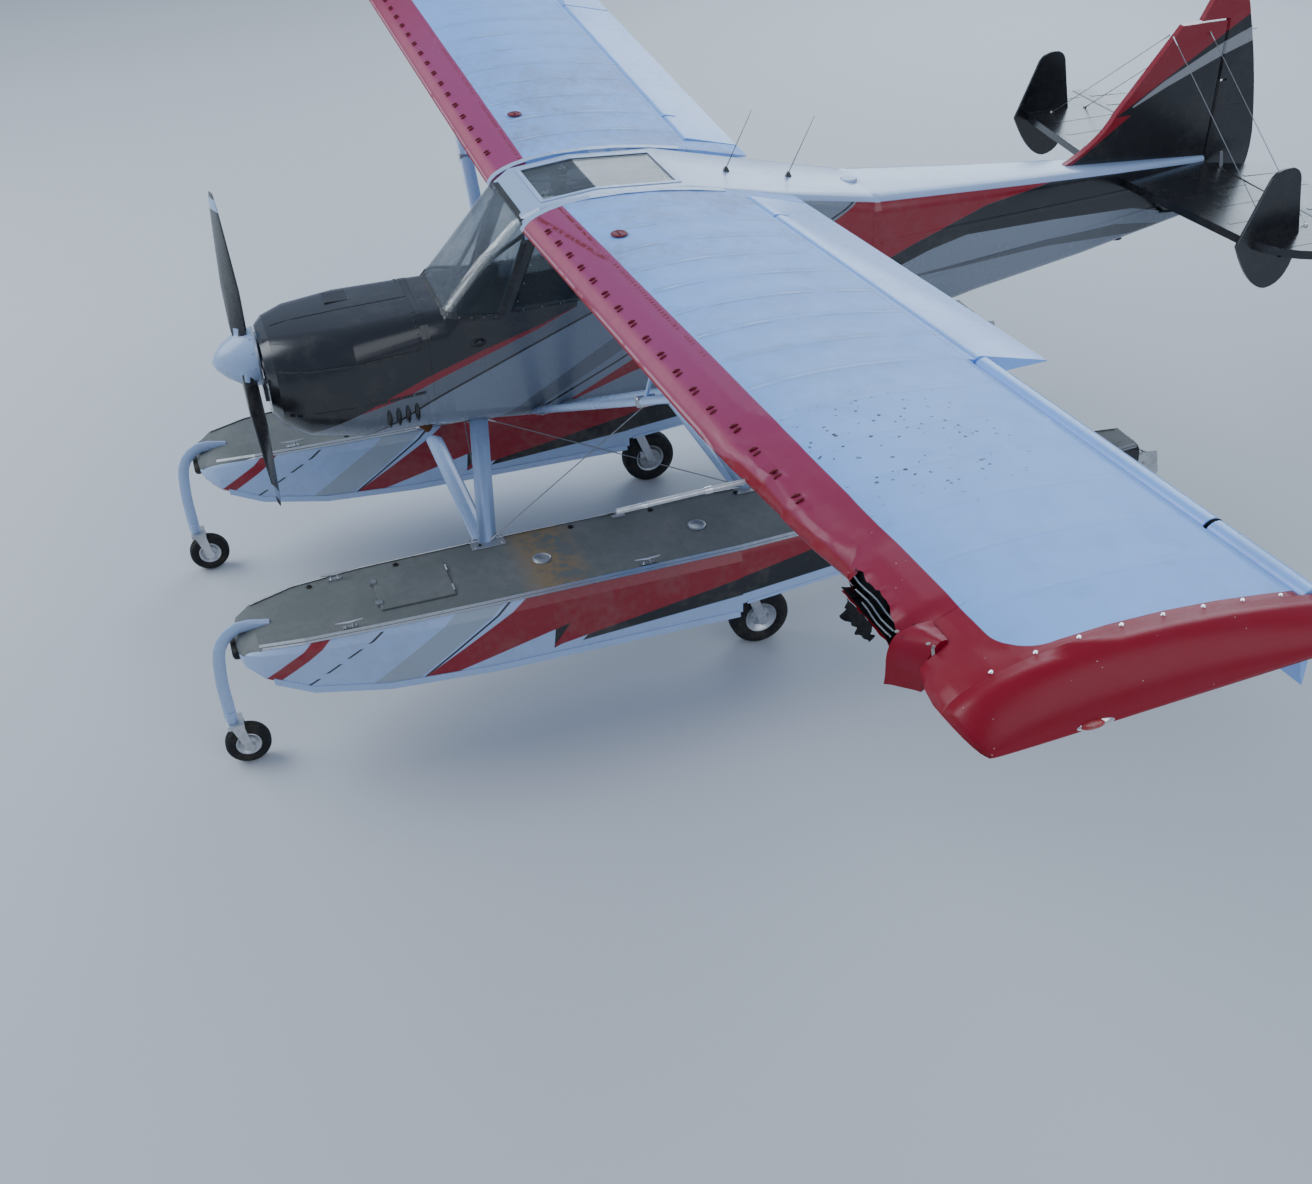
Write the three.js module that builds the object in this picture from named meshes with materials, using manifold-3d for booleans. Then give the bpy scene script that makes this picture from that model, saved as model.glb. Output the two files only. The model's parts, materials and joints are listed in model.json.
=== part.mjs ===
// Floatplane: a strut-braced high-wing two-seater on a pair of amphibious floats, standing on its wheels.
// Millimetres. +Z is up, the nose points to -Y and the left wing to +X. The origin is on the ground,
// under the middle of the whole outline. Stations are measured from the wing's leading edge at the
// root (y runs aft, z runs up), and the finished group is set down at PLACE.
import * as THREE from "three";
import { mergeVertices } from "three/addons/utils/BufferGeometryUtils.js";
import Module from "manifold-3d";

const wasm = await Module();
wasm.setup();

const PLACE = { y: -1482.5, z: 2630 }; // from the ground origin to the wing's leading edge at the root
const GAP = 0.3; // between pieces that rest on each other
const CLEAR = 6; // around what moves
const ARC_STEPS = 6; // per rounded corner of a hull

const WING = { root: 362, seam: 5130, tip: 5300, chord: 1630, low: -56, dihedral: Math.tan((3.5 * Math.PI) / 180), twist: 1.1e-5 };
const HINGE = { y: 1300, z: -7, r: 48, slot: 20, plate: 4, boss: 16 };
const OPENED = 68; // how far ahead of the hinge line the crushed wing's lip is torn off
const FLAP = { from: 526, to: 3061, hinges: [900] };
const AILERON = { from: 3079, to: 5120, hinges: [4630], hang: (80 * Math.PI) / 180 };
const COVE_FROM = 515;
const CABIN = { wall: 40, glass: 6, front: -600, rear: 2200 };
const THRUST_Z = -640;
const PROP = { y: -1570, radius: 965, spinner: 165, back: -1492, tip: -1750 };
const TAIL = { post: 4717, hinge: 4745, nose: 22, z: -420 };
const FLOAT = { x: 1050, deck: -1690, step: 900, stern: 3700, frontStrut: -450, rearStrut: 1200 };
const GROUND = -PLACE.z;
const MAIN_WHEEL = { r: 190, y: 1150, half: 65, hub: 77.7 };
const NOSE_WHEEL = { r: 130, y: -2010, half: 38, hub: 50.7, pivot: -2072 };
const STRUT = { chord: 110, thick: 46 };
const LIFT_STRUT = { chord: 92, thick: 42 };
const TAIL_BRACE = { chord: 44, thick: 18 };

const PAINT = {
  white: [0xdfe3ea, 0.35, 0.0],
  red: [0xb01628, 0.3, 0.0],
  black: [0x0c0e14, 0.25, 0.0],
  deck: [0x6c7072, 0.8, 0.0],
  glass: [0xbcd0da, 0.1, 0.0],
  alloy: [0xa9adb2, 0.35, 0.9],
  rubber: [0x17171a, 0.85, 0.0],
  cloth: [0x3a3b40, 0.9, 0.0],
};

function material([color, roughness, metalness]) {
  return new THREE.MeshStandardMaterial({ color, roughness, metalness });
}

// Six times the volume that the triangles enclose, negative when they face inwards.
function enclosed(places, corners) {
  const at = (i) => new THREE.Vector3().fromArray(places, corners[i] * 3);
  let sum = 0;
  for (let i = 0; i < corners.length; i += 3) sum += at(i).dot(at(i + 1).cross(at(i + 2)));
  return sum;
}

// A closed three.js geometry as a solid that can be joined and cut.
function solid(geometry) {
  const loose = geometry.index ? geometry.toNonIndexed() : geometry.clone();
  loose.deleteAttribute("normal");
  loose.deleteAttribute("uv");
  const merged = mergeVertices(loose, 1e-3);
  const vertProperties = new Float32Array(merged.attributes.position.array);
  const triVerts = new Uint32Array(merged.index.array);
  if (enclosed(vertProperties, triVerts) < 0) triVerts.reverse();
  return new wasm.Manifold(new wasm.Mesh({ numProp: 3, vertProperties, triVerts }));
}

function geometryOf(body) {
  const { numProp, numVert, vertProperties, triVerts } = body.getMesh();
  const places = new Float32Array(numVert * 3);
  for (let i = 0; i < numVert; i++) places.set(vertProperties.subarray(i * numProp, i * numProp + 3), i * 3);
  return new THREE.BufferGeometry()
    .setAttribute("position", new THREE.BufferAttribute(places, 3))
    .setIndex(new THREE.BufferAttribute(triVerts, 1));
}

// The largest piece that a cut leaves.
function largest(body) {
  return body.decompose().reduce((a, b) => (b.volume() > a.volume() ? b : a));
}

// A body moved a little each way, so that what is cut by it keeps a gap.
function grown(body, by = GAP) {
  const steps = [[by, 0, 0], [-by, 0, 0], [0, by, 0], [0, -by, 0], [0, 0, by], [0, 0, -by]];
  return steps.map((s) => body.translate(s)).reduce((a, b) => a.add(b));
}

function seated(body, ...neighbours) {
  return largest(neighbours.reduce((left, next) => left.subtract(grown(next)), body));
}

const v3 = (x, y, z) => new THREE.Vector3(x, y, z);

// Rings with equal numbers of points, joined in order and closed at both ends. Every ring is convex.
function loft(rings) {
  const n = rings[0].length;
  const points = rings.flat();
  const faces = [];
  for (let k = 0; k + 1 < rings.length; k++)
    for (let i = 0; i < n; i++) {
      const [a, b] = [k * n + i, k * n + ((i + 1) % n)];
      faces.push([a, b, b + n], [a, b + n, a + n]);
    }
  for (const [start, flip] of [[0, true], [(rings.length - 1) * n, false]]) {
    const middle = v3(0, 0, 0);
    for (let i = 0; i < n; i++) middle.addScaledVector(points[start + i], 1 / n);
    points.push(middle);
    const c = points.length - 1;
    for (let i = 0; i < n; i++) {
      const [a, b] = [start + i, start + ((i + 1) % n)];
      faces.push(flip ? [b, a, c] : [a, b, c]);
    }
  }
  return solid(new THREE.BufferGeometry().setFromPoints(points).setIndex(faces.flat()));
}

function box(x0, x1, y0, y1, z0, z1) {
  const geometry = new THREE.BoxGeometry(x1 - x0, y1 - y0, z1 - z0);
  return solid(geometry.translate((x0 + x1) / 2, (y0 + y1) / 2, (z0 + z1) / 2));
}

function cylinder(from, to, radius, sides = 20) {
  const length = from.distanceTo(to);
  const geometry = new THREE.CylinderGeometry(radius, radius, length, sides);
  const turn = new THREE.Quaternion().setFromUnitVectors(v3(0, 1, 0), to.clone().sub(from).normalize());
  const middle = from.clone().add(to).multiplyScalar(0.5);
  return solid(geometry.applyQuaternion(turn).translate(middle.x, middle.y, middle.z));
}

// A shape drawn in the side view, x as y and y as z, given its thickness across the aircraft.
function sidePlate(shape, x0, x1, curveSegments = 8) {
  const geometry = new THREE.ExtrudeGeometry(shape, { depth: x1 - x0, bevelEnabled: false, curveSegments });
  geometry.applyMatrix4(new THREE.Matrix4().makeBasis(v3(0, 1, 0), v3(0, 0, 1), v3(1, 0, 0)));
  return solid(geometry.translate(x0, 0, 0));
}

function outline(points) {
  return new THREE.Shape(points.map(([a, b]) => new THREE.Vector2(a, b)));
}

function planPlate(shape, z0, z1, curveSegments = 8) {
  const geometry = new THREE.ExtrudeGeometry(shape, { depth: z1 - z0, bevelEnabled: false, curveSegments });
  return solid(geometry.translate(0, 0, z0));
}

// A rounded rectangle across the aircraft at station y.
function hullRing({ y, half, top, low, topR, lowR }) {
  const corners = [
    [half - topR, top - topR, topR, 0],
    [-half + topR, top - topR, topR, 1],
    [-half + lowR, low + lowR, lowR, 2],
    [half - lowR, low + lowR, lowR, 3],
  ];
  const ring = [];
  for (const [x, z, r, quarter] of corners)
    for (let i = 0; i <= ARC_STEPS; i++) {
      const turn = ((quarter + i / ARC_STEPS) * Math.PI) / 2;
      ring.push(v3(x + r * Math.cos(turn), y, z + r * Math.sin(turn)));
    }
  return ring;
}

const stations = (rows) => rows.map(([y, half, top, low, topR, lowR]) => ({ y, half, top, low, topR, lowR }));

function hull(rows, inset = 0, ends = [0, 0]) {
  const shrink = (s, i) => ({
    y: s.y + (i === 0 ? ends[0] : 0) + (i === rows.length - 1 ? ends[1] : 0),
    half: s.half - inset,
    top: s.top - inset,
    low: s.low + inset,
    topR: Math.max(s.topR - inset, 4),
    lowR: Math.max(s.lowR - inset, 4),
  });
  return loft(rows.map(shrink).map(hullRing));
}

// Fuselage sections: y, half width, top, low, top radius, low radius
const CABIN_ROWS = stations([
  [-600, 372, -430, -1120, 150, 120],
  [-470, 368, -430, -1135, 150, 115],
  [-250, 365, -190, -1155, 170, 110],
  [-20, 360, 30, -1180, 110, 100],
  [120, 360, 100, -1185, 45, 100],
  [480, 360, 131, -1190, 36, 100],
  [1000, 360, 95, -1185, 36, 100],
  [1600, 352, -45, -1160, 60, 100],
  [2200, 318, -170, -1070, 110, 100],
]);
const TAIL_ROWS = stations([
  [2200.3, 318, -170, -1070, 110, 100],
  [3000, 235, -238, -950, 95, 80],
  [3800, 150, -295, -865, 60, 55],
  [TAIL.post, 44, -365, -740, 25, 25],
]);
const COWL_ROWS = stations([
  [-600.3, 372, -430, -1120, 150, 120],
  [-1000, 430, -440, -1110, 190, 180],
  [-1300, 410, -455, -1060, 220, 200],
  [-1430, 350, -475, -1000, 230, 200],
  [-1480, 285, -510, -945, 200, 180],
]);

// Wing section: fraction of the chord, upper and lower height in hundredths of the chord
const AIRFOIL = [
  [0, 3.5, 3.5],
  [0.0125, 5.45, 1.93],
  [0.03, 6.9, 1.3],
  [0.06, 8.3, 0.8],
  [0.1, 9.6, 0.42],
  [0.16, 10.8, 0.12],
  [0.24, 11.55, 0],
  [0.34, 11.65, 0],
  [0.46, 10.95, 0],
  [0.58, 9.5, 0],
  [0.7, 7.35, 0],
  [0.82, 4.8, 0],
  [0.92, 2.3, 0],
  [1, 0.25, 0],
];

// The wing rises outboard, and its trailing edge a little more than its leading edge.
const rise = (x, y = 0) => (x - WING.root) * (WING.dihedral + y * WING.twist);

// shape.y0 and y1 bound the chord, height scales the upper side, drop lowers it, dent moves the nose.
function wingRing(x, { y0 = 0, y1 = WING.chord, height = 1, drop = 0, back = 0, down = 0 } = {}) {
  const place = (fraction, percent) => {
    const soft = Math.max(0, 1 - fraction / 0.16);
    const y = y0 + fraction * (y1 - y0) + back * soft;
    const z = WING.low + (percent / 100) * WING.chord * height - drop - down * soft;
    return v3(x, y, z + rise(x, y));
  };
  const upper = AIRFOIL.map(([f, u]) => place(f, u));
  const lower = AIRFOIL.slice(1).map(([f, , l]) => place(f, l));
  return [...upper, ...lower.reverse()];
}

// Crushed leading edge of the left wing: span station, how far it is pushed aft and down
const CRUSH = [
  [3150, 0, 0],
  [3420, 34, 22],
  [3620, 62, 34],
  [3840, 74, 16],
  [4060, 112, 30],
  [4300, 138, 8],
  [4420, 120, 0],
  [4790, 52, 24],
  [4870, 66, 10],
  [4980, 24, 14],
  [5080, 0, 0],
];
const LAMP_BAY = { from: 4340, to: 4780, depth: 145 };

// The hinge line of a wing rises with it, so its fittings are cut square to it.
const TILT = Math.atan(WING.dihedral + HINGE.y * WING.twist);
const HINGE_AXIS = v3(Math.cos(TILT), 0, Math.sin(TILT));
const hingePoint = (x) => v3(x, HINGE.y, HINGE.z + rise(x, HINGE.y));

// Section of a flap or aileron, square to the hinge line: a round nose, closing to the trailing edge.
function surfaceRing(x) {
  const tail = WING.chord - 2 - HINGE.y;
  const low = WING.low - HINGE.z + (x - WING.root) * tail * WING.twist;
  const ring = [[tail, low + 6], [tail, low + 1]];
  for (let i = 0; i <= 10; i++) {
    const turn = -Math.PI / 2 - (i / 10) * Math.PI;
    ring.push([HINGE.r * Math.cos(turn), HINGE.r * Math.sin(turn)]);
  }
  return ring.map(([dy, dz]) => hingePoint(x).add(v3(-dz * Math.sin(TILT), dy, dz * Math.cos(TILT))));
}

function hingeSlot(x) {
  const cut = box(-HINGE.slot / 2, HINGE.slot / 2, -90, 62, -90, 90).rotate([0, (-TILT * 180) / Math.PI, 0]);
  return cut.translate(hingePoint(x).toArray());
}

function surface({ from, to, hinges }) {
  const whole = loft([surfaceRing(from), surfaceRing(to)]);
  return hinges.reduce((left, x) => left.subtract(hingeSlot(x)), whole);
}

// A surface swung about its hinge line, its trailing edge going down.
function swung(body, angle) {
  const at = hingePoint(AILERON.from);
  const turn = new THREE.Matrix4().makeRotationAxis(HINGE_AXIS, -angle);
  return body.translate(at.clone().negate().toArray()).transform(turn.toArray()).translate(at.toArray());
}

const hingeTube = (from, to) => cylinder(hingePoint(from), hingePoint(to), HINGE.boss, 16);

// A plate out of the rear spar that ends in a tube on the hinge line.
function hingeArm([from, to]) {
  const x = (from + to) / 2;
  const { z } = hingePoint(x);
  const plate = box(x - HINGE.plate / 2, x + HINGE.plate / 2, HINGE.y - 75, HINGE.y, z - 12, z + 12);
  return plate.add(hingeTube(from + GAP, to - GAP));
}

function wing(crushed) {
  const plain = [wingRing(WING.root), wingRing(WING.seam)];
  const hurt = CRUSH.map(([x, back, down]) => wingRing(x, { back, down }));
  let body = loft(crushed ? [plain[0], ...hurt, plain[1]] : plain);
  if (crushed) {
    const z = rise(LAMP_BAY.from);
    body = body.subtract(box(LAMP_BAY.from, LAMP_BAY.to, -200, LAMP_BAY.depth, z - 150, z + 250));
  }
  const cove = loft([coveRing(COVE_FROM), coveRing(WING.seam + 20)]);
  const behind = [[24, 150], [HINGE.r + CLEAR, HINGE.z]].map(([ahead, top]) =>
    loft([behindRing(COVE_FROM, ahead, top), behindRing(WING.seam + 20, ahead, top)]),
  );
  body = body.subtract(cove).subtract(behind[0]).subtract(behind[1]);
  if (crushed) {
    const lip = [FLAP.to + 9, WING.seam + 20].map((x) => behindRing(x, OPENED, 150, HINGE.z));
    body = body.subtract(loft(lip));
  }
  const slots = [...FLAP.hinges, ...AILERON.hinges].map((x) => [x - HINGE.slot / 2, x + HINGE.slot / 2]);
  const arms = [...slots, [FLAP.to, AILERON.from]].map(hingeArm);
  return largest(arms.reduce((left, arm) => left.add(arm), body));
}

function coveRing(x) {
  const ring = [];
  for (let i = 0; i < 24; i++) {
    const turn = (i / 24) * 2 * Math.PI;
    const r = HINGE.r + CLEAR;
    ring.push(v3(x, HINGE.y + r * Math.cos(turn), HINGE.z + r * Math.sin(turn) + rise(x, HINGE.y)));
  }
  return ring;
}

function behindRing(x, ahead, z1, z0 = -150) {
  const [y0, y1] = [HINGE.y - ahead, WING.chord + 50];
  return [[y0, z0], [y1, z0], [y1, z1], [y0, z1]].map(([y, z]) => v3(x, y, z + rise(x, HINGE.y)));
}

function wingTip() {
  const rings = [0, 0.35, 0.62, 0.82, 0.94, 1].map((t) => {
    const round = Math.sqrt(1 - t * t);
    const x = WING.seam + GAP + t * (WING.tip - WING.seam - GAP);
    const shape = { y0: 70 * (1 - round), y1: WING.chord - 120 * (1 - round), height: 0.15 + 0.85 * round, drop: 18 * t * t };
    return wingRing(x, shape);
  });
  return loft(rings).add(hingeTube(AILERON.to + GAP, WING.seam + 10));
}

// A streamlined tube between two points, its chord lying fore and aft.
function streamlined(from, to, { chord, thick } = STRUT) {
  const along = to.clone().sub(from).normalize();
  const aft = v3(0, 1, 0).addScaledVector(along, -along.y).normalize();
  const side = v3(0, 0, 0).crossVectors(along, aft);
  const profile = [[-0.5, 0], [-0.42, 0.3], [-0.22, 0.5], [0.08, 0.46], [0.34, 0.2], [0.5, 0.03]];
  const round = [...profile, ...profile.slice(1).reverse().map(([a, b]) => [a, -b])];
  const ring = (end) => round.map(([a, b]) => end.clone().addScaledVector(aft, a * chord).addScaledVector(side, b * thick));
  return loft([ring(from), ring(to)]);
}

function glassShell() {
  return hull(CABIN_ROWS).subtract(hull(CABIN_ROWS, CABIN.glass, [-5, 5]));
}

// Openings in the cabin, drawn in the side view: y, z
const WINDSHIELD = [[-470, -438], [-150, -486], [20, -70], [20, 300], [-470, 300]];
const LEFT_WINDOW = [[-92, -470], [1290, -470], [1560, -170], [1500, -100], [75, -100]];
const RIGHT_FRONT_WINDOW = [[-92, -470], [400, -470], [400, -100], [75, -100]];
const RIGHT_REAR_WINDOW = [[1086, -470], [1290, -470], [1560, -170], [1500, -100], [1086, -100]];
const DOOR = { front: 440, rear: 1060, low: -1040, split: -480, top: -72, frame: 48, clear: 5, pin: 370.5 };
const SKYLIGHT = { half: 250, front: 170, rear: 950 };

function pane(points, side) {
  const [x0, x1] = side > 0 ? [200, 500] : [-500, -200];
  return sidePlate(outline(points), x0, x1);
}

function doorRect(low, top, spread = 0) {
  const [a, b] = [DOOR.front - spread, DOOR.rear + spread];
  return [[a, low - spread], [b, low - spread], [b, top + spread], [a, top + spread]];
}

const doorWindow = doorRect(DOOR.split + DOOR.clear, DOOR.top, -DOOR.frame);

// A convex side-view outline moved inwards, for glass that keeps off its frame.
function inset(points, by = GAP) {
  const n = points.length;
  const turnOf = (i) => {
    const [[ax, ay], [bx, by2], [cx, cy]] = [points[i], points[(i + 1) % n], points[(i + 2) % n]];
    return (bx - ax) * (cy - by2) - (by2 - ay) * (cx - bx);
  };
  const side = Math.sign(points.reduce((sum, _, i) => sum + turnOf(i), 0));
  const edges = points.map(([x0, y0], i) => {
    const [x1, y1] = points[(i + 1) % n];
    const length = Math.hypot(x1 - x0, y1 - y0);
    const [nx, ny] = [(-side * (y1 - y0)) / length, (side * (x1 - x0)) / length];
    return { nx, ny, d: nx * x0 + ny * y0 + by };
  });
  return points.map((_, i) => {
    const [a, b] = [edges[(i + n - 1) % n], edges[i]];
    const det = a.nx * b.ny - a.ny * b.nx;
    return [(a.d * b.ny - b.d * a.ny) / det, (a.nx * b.d - b.nx * a.d) / det];
  });
}

function cabin() {
  let body = hull(CABIN_ROWS).subtract(hull(CABIN_ROWS, CABIN.wall, [CABIN.wall, -CABIN.wall]));
  const cuts = [
    sidePlate(outline(WINDSHIELD), -600, 600),
    pane(LEFT_WINDOW, 1),
    pane(RIGHT_FRONT_WINDOW, -1),
    pane(RIGHT_REAR_WINDOW, -1),
    pane(doorRect(DOOR.low, DOOR.split, DOOR.clear), -1),
    pane(doorRect(DOOR.split, DOOR.top, DOOR.clear), -1),
    box(-SKYLIGHT.half, SKYLIGHT.half, SKYLIGHT.front, SKYLIGHT.rear, 0, 300),
  ];
  for (const cut of cuts) body = body.subtract(cut);
  return largest(body).add(knuckles(LOW_PIN, FRAME_KNUCKLES, -18)).add(knuckles(TOP_PIN, FRAME_KNUCKLES, 11));
}

// Knuckles of a door hinge along the outside of the right wall. reach is where they join: above or below the pin.
function knuckles(z, starts, reach) {
  const parts = starts.map((y) => {
    const [z0, z1] = reach > 0 ? [z + 2, z + reach] : [z + reach, z - 2];
    const tab = box(-DOOR.pin - 1, -DOOR.pin + 15, y, y + 40, z0, z1);
    return cylinder(v3(-DOOR.pin, y, z), v3(-DOOR.pin, y + 40, z), 9, 12).add(tab);
  });
  return parts.reduce((a, b) => a.add(b));
}

const LOW_PIN = DOOR.low - DOOR.clear / 2;
const TOP_PIN = DOOR.top + DOOR.clear / 2;
const LEAF_KNUCKLES = [520, 940];
const FRAME_KNUCKLES = LEAF_KNUCKLES.map((y) => y + 40 + GAP);

function doorLeaf(low, top, hinge) {
  const wall = hull(CABIN_ROWS).subtract(hull(CABIN_ROWS, CABIN.wall, [-5, 5]));
  return largest(wall.intersect(pane(doorRect(low, top), -1))).add(hinge);
}

function cowl() {
  const rearOpen = hull(COWL_ROWS, 24, [60, 24]);
  let body = hull(COWL_ROWS).subtract(rearOpen);
  for (const side of [1, -1]) {
    const inlet = new THREE.Shape().absellipse(side * 178, THRUST_Z - 5, 78, 52, 0, 2 * Math.PI);
    const geometry = new THREE.ExtrudeGeometry(inlet, { depth: 300, bevelEnabled: false, curveSegments: 8 });
    geometry.applyMatrix4(new THREE.Matrix4().makeBasis(v3(1, 0, 0), v3(0, 0, 1), v3(0, -1, 0)));
    body = body.subtract(solid(geometry.translate(0, -1300, 0)));
  }
  body = body.subtract(cylinder(v3(0, -1600, THRUST_Z), v3(0, -1300, THRUST_Z), 70, 24));
  body = body.subtract(box(-170, 170, -800, -590, -1300, -1020));
  return largest(body);
}

function engine() {
  return box(-320, 320, -1330, -740, -960, -560).add(box(-160, 160, -750, CABIN.front - GAP, -900, -620));
}

// Propeller blade sections: radius, chord, thickness, pitch angle in degrees
const BLADE = [
  [60, 70, 62, 60],
  [190, 120, 40, 46],
  [420, 165, 24, 32],
  [700, 150, 15, 22],
  [900, 112, 9, 17],
  [PROP.radius, 60, 5, 15],
];

function bladeRing([radius, chord, thick, pitch]) {
  const turn = (pitch * Math.PI) / 180;
  const ring = [];
  for (let i = 0; i < 10; i++) {
    const a = (i / 10) * 2 * Math.PI;
    const [u, w] = [(chord / 2) * Math.cos(a), (thick / 2) * Math.sin(a)];
    ring.push(v3(u * Math.cos(turn) - w * Math.sin(turn), u * Math.sin(turn) + w * Math.cos(turn), radius));
  }
  return ring;
}

function propeller() {
  const cone = [[0, PROP.tip], [45, PROP.tip + 22], [95, PROP.tip + 70], [138, PROP.tip + 135], [PROP.spinner, PROP.back - 20]];
  const profile = [...cone, [PROP.spinner, PROP.back], [0, PROP.back]].map(([r, y]) => new THREE.Vector2(r, y));
  const spinner = new THREE.LatheGeometry(profile, 24).translate(0, 0, THRUST_Z);
  let body = solid(spinner);
  const blade = loft(BLADE.map(bladeRing));
  for (const turn of [0, 120, 240]) body = body.add(blade.rotate([0, turn, 0]).translate([0, PROP.y, THRUST_Z]));
  const shaft = cylinder(v3(0, PROP.back - 5, THRUST_Z), v3(0, -1330 - GAP, THRUST_Z), 45);
  return body.add(shaft);
}

// Float sections: y, half beam, deck, chine and keel heights, half width of the deck
const BOW_ROWS = [
  [-1960, 70, -1800, -1815, -1850, 50],
  [-1930, 190, -1755, -1840, -1930, 140],
  [-1840, 265, -1722, -1895, -2030, 215],
  [-1600, 325, -1700, -1985, -2150, 275],
  [-1200, 355, FLOAT.deck, -2055, -2240, 305],
  [-600, 365, FLOAT.deck, -2095, -2290, 318],
  [FLOAT.step, 365, FLOAT.deck, -2115, -2310, 318],
];
const STERN_ROWS = [
  [FLOAT.step, 358, FLOAT.deck, -2060, -2225, 318],
  [2000, 305, FLOAT.deck, -1995, -2120, 265],
  [3000, 232, -1700, -1920, -1995, 195],
  [FLOAT.stern, 150, -1720, -1865, -1895, 118],
];
const WELL = { half: 112, front: 930, rear: 1400, top: -1850 };

function floatRing([y, beam, deck, chine, keel, deckHalf]) {
  const shoulder = deck - 0.16 * (deck - chine);
  const half = [[deckHalf, deck], [beam - 8, shoulder], [beam, (shoulder + chine) / 2], [beam, chine], [beam * 0.5, keel + 0.46 * (chine - keel)]];
  const mirrored = half.map(([x, z]) => [-x, z]).reverse();
  return [...half, [0, keel], ...mirrored].map(([x, z]) => v3(FLOAT.x + x, y, z));
}

function floatHull() {
  const joined = loft(BOW_ROWS.map(floatRing)).add(loft(STERN_ROWS.map(floatRing)));
  const well = box(FLOAT.x - WELL.half, FLOAT.x + WELL.half, WELL.front, WELL.rear, -2500, WELL.top);
  const bracket = box(FLOAT.x - 18, FLOAT.x + 18, FLOAT.stern - 20, FLOAT.stern + 55, -1780, -1764);
  return joined.subtract(well).add(bracket);
}

function waterRudder() {
  const post = cylinder(v3(FLOAT.x, 3737, -1780 - GAP), v3(FLOAT.x, 3737, -2080), 14, 12);
  const blade = outline([[3737, -1850], [3950, -1880], [3985, -2040], [3930, -2150], [3790, -2140], [3737, -2040]]);
  return post.add(sidePlate(blade, FLOAT.x - 6, FLOAT.x + 6));
}

// Two arms beside a wheel, from a block above it down to the axle.
function fork({ x, y, z, inner, thick, arm }, block) {
  const plates = [1, -1].map((side) => {
    const [x0, x1] = side > 0 ? [x + inner, x + inner + thick] : [x - inner - thick, x - inner];
    return sidePlate(outline(arm), x0, x1).add(cylinder(v3(x0, y, z), v3(x1, y, z), 30, 16));
  });
  return block.add(plates[0]).add(plates[1]);
}

function mainLeg() {
  const { y } = MAIN_WHEEL;
  const z = GROUND + MAIN_WHEEL.r;
  const block = box(FLOAT.x - 92, FLOAT.x + 92, 945, 1015, -2000, WELL.top - GAP);
  const arm = [[945, -1980], [1015, -1980], [y + 30, z + 6], [y - 26, z - 8]];
  return fork({ x: FLOAT.x, y, z, inner: 78, thick: 14, arm }, block);
}

function noseFork() {
  const { y, pivot } = NOSE_WHEEL;
  const z = GROUND + NOSE_WHEEL.r;
  const block = box(FLOAT.x - 61, FLOAT.x + 61, pivot - 32, pivot + 62, -2356, -2330 - GAP);
  const arm = [[pivot - 10, -2356], [pivot + 60, -2356], [y + 22, z], [y - 22, z]];
  return fork({ x: FLOAT.x, y, z, inner: 51, thick: 10, arm }, block);
}

// The nose leg's route: out of the bow's deck, over the bow and down to the caster
const NOSE_ROUTE = [[-1760, -1735], [-1930, -1712], [-2035, -1800], [-2072, -2000], [-2072, -2300]];

function noseLeg() {
  const section = new THREE.Shape().absellipse(0, 0, 22, 36, 0, 2 * Math.PI);
  const path = new THREE.CatmullRomCurve3(NOSE_ROUTE.map(([y, z]) => v3(FLOAT.x, y, z)));
  const leg = solid(new THREE.ExtrudeGeometry(section, { steps: 14, extrudePath: path, curveSegments: 5, bevelEnabled: false }));
  const head = cylinder(v3(FLOAT.x, NOSE_WHEEL.pivot, -2260), v3(FLOAT.x, NOSE_WHEEL.pivot, -2330), 32, 16);
  return leg.add(head);
}

function wheel({ r, y, half, hub }) {
  const rim = r * 0.5;
  const profile = [[0, -hub], [22, -hub], [22, -half * 0.72], [rim, -half * 0.72], [rim + 8, -half], [r * 0.86, -half], [r, -half * 0.45]];
  const whole = [...profile, ...profile.slice().reverse().map(([a, b]) => [a, -b])].map(([a, b]) => new THREE.Vector2(a, b));
  const geometry = new THREE.LatheGeometry(whole, 28).rotateZ(-Math.PI / 2);
  return solid(geometry.translate(FLOAT.x, y, GROUND + r));
}

function finShape() {
  const shape = new THREE.Shape();
  shape.moveTo(3560, -330);
  shape.quadraticCurveTo(3900, -200, 4000, 0);
  shape.lineTo(4395, 498);
  shape.lineTo(TAIL.post, 498);
  shape.lineTo(TAIL.post, -400);
  shape.lineTo(3560, -400);
  return shape;
}

function rudderShape() {
  const shape = new THREE.Shape();
  shape.moveTo(TAIL.hinge, -735);
  shape.lineTo(TAIL.hinge, 510);
  shape.lineTo(4530, 510);
  shape.lineTo(4595, 640);
  shape.quadraticCurveTo(4640, 715, 4720, 715);
  shape.quadraticCurveTo(4830, 715, 4880, 526);
  shape.quadraticCurveTo(5020, 120, 5075, -257);
  shape.quadraticCurveTo(5105, -600, 4900, -690);
  return shape;
}

function rudder() {
  const nose = cylinder(v3(0, TAIL.hinge, -735), v3(0, TAIL.hinge, 510), TAIL.nose, 16);
  let body = sidePlate(rudderShape(), -TAIL.nose, TAIL.nose).add(nose);
  for (const z of RUDDER_HINGES) body = body.subtract(box(-60, 60, TAIL.hinge - 60, TAIL.hinge + 48, z - 7, z + 7));
  return body;
}

const RUDDER_HINGES = [120, -520];

function rudderArm(z) {
  const disc = cylinder(v3(0, TAIL.hinge, z - 7 + GAP), v3(0, TAIL.hinge, z + 7 - GAP), 12, 12);
  return disc.add(box(-10, 10, TAIL.post - 20, TAIL.hinge, z - 2, z + 2));
}

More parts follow.
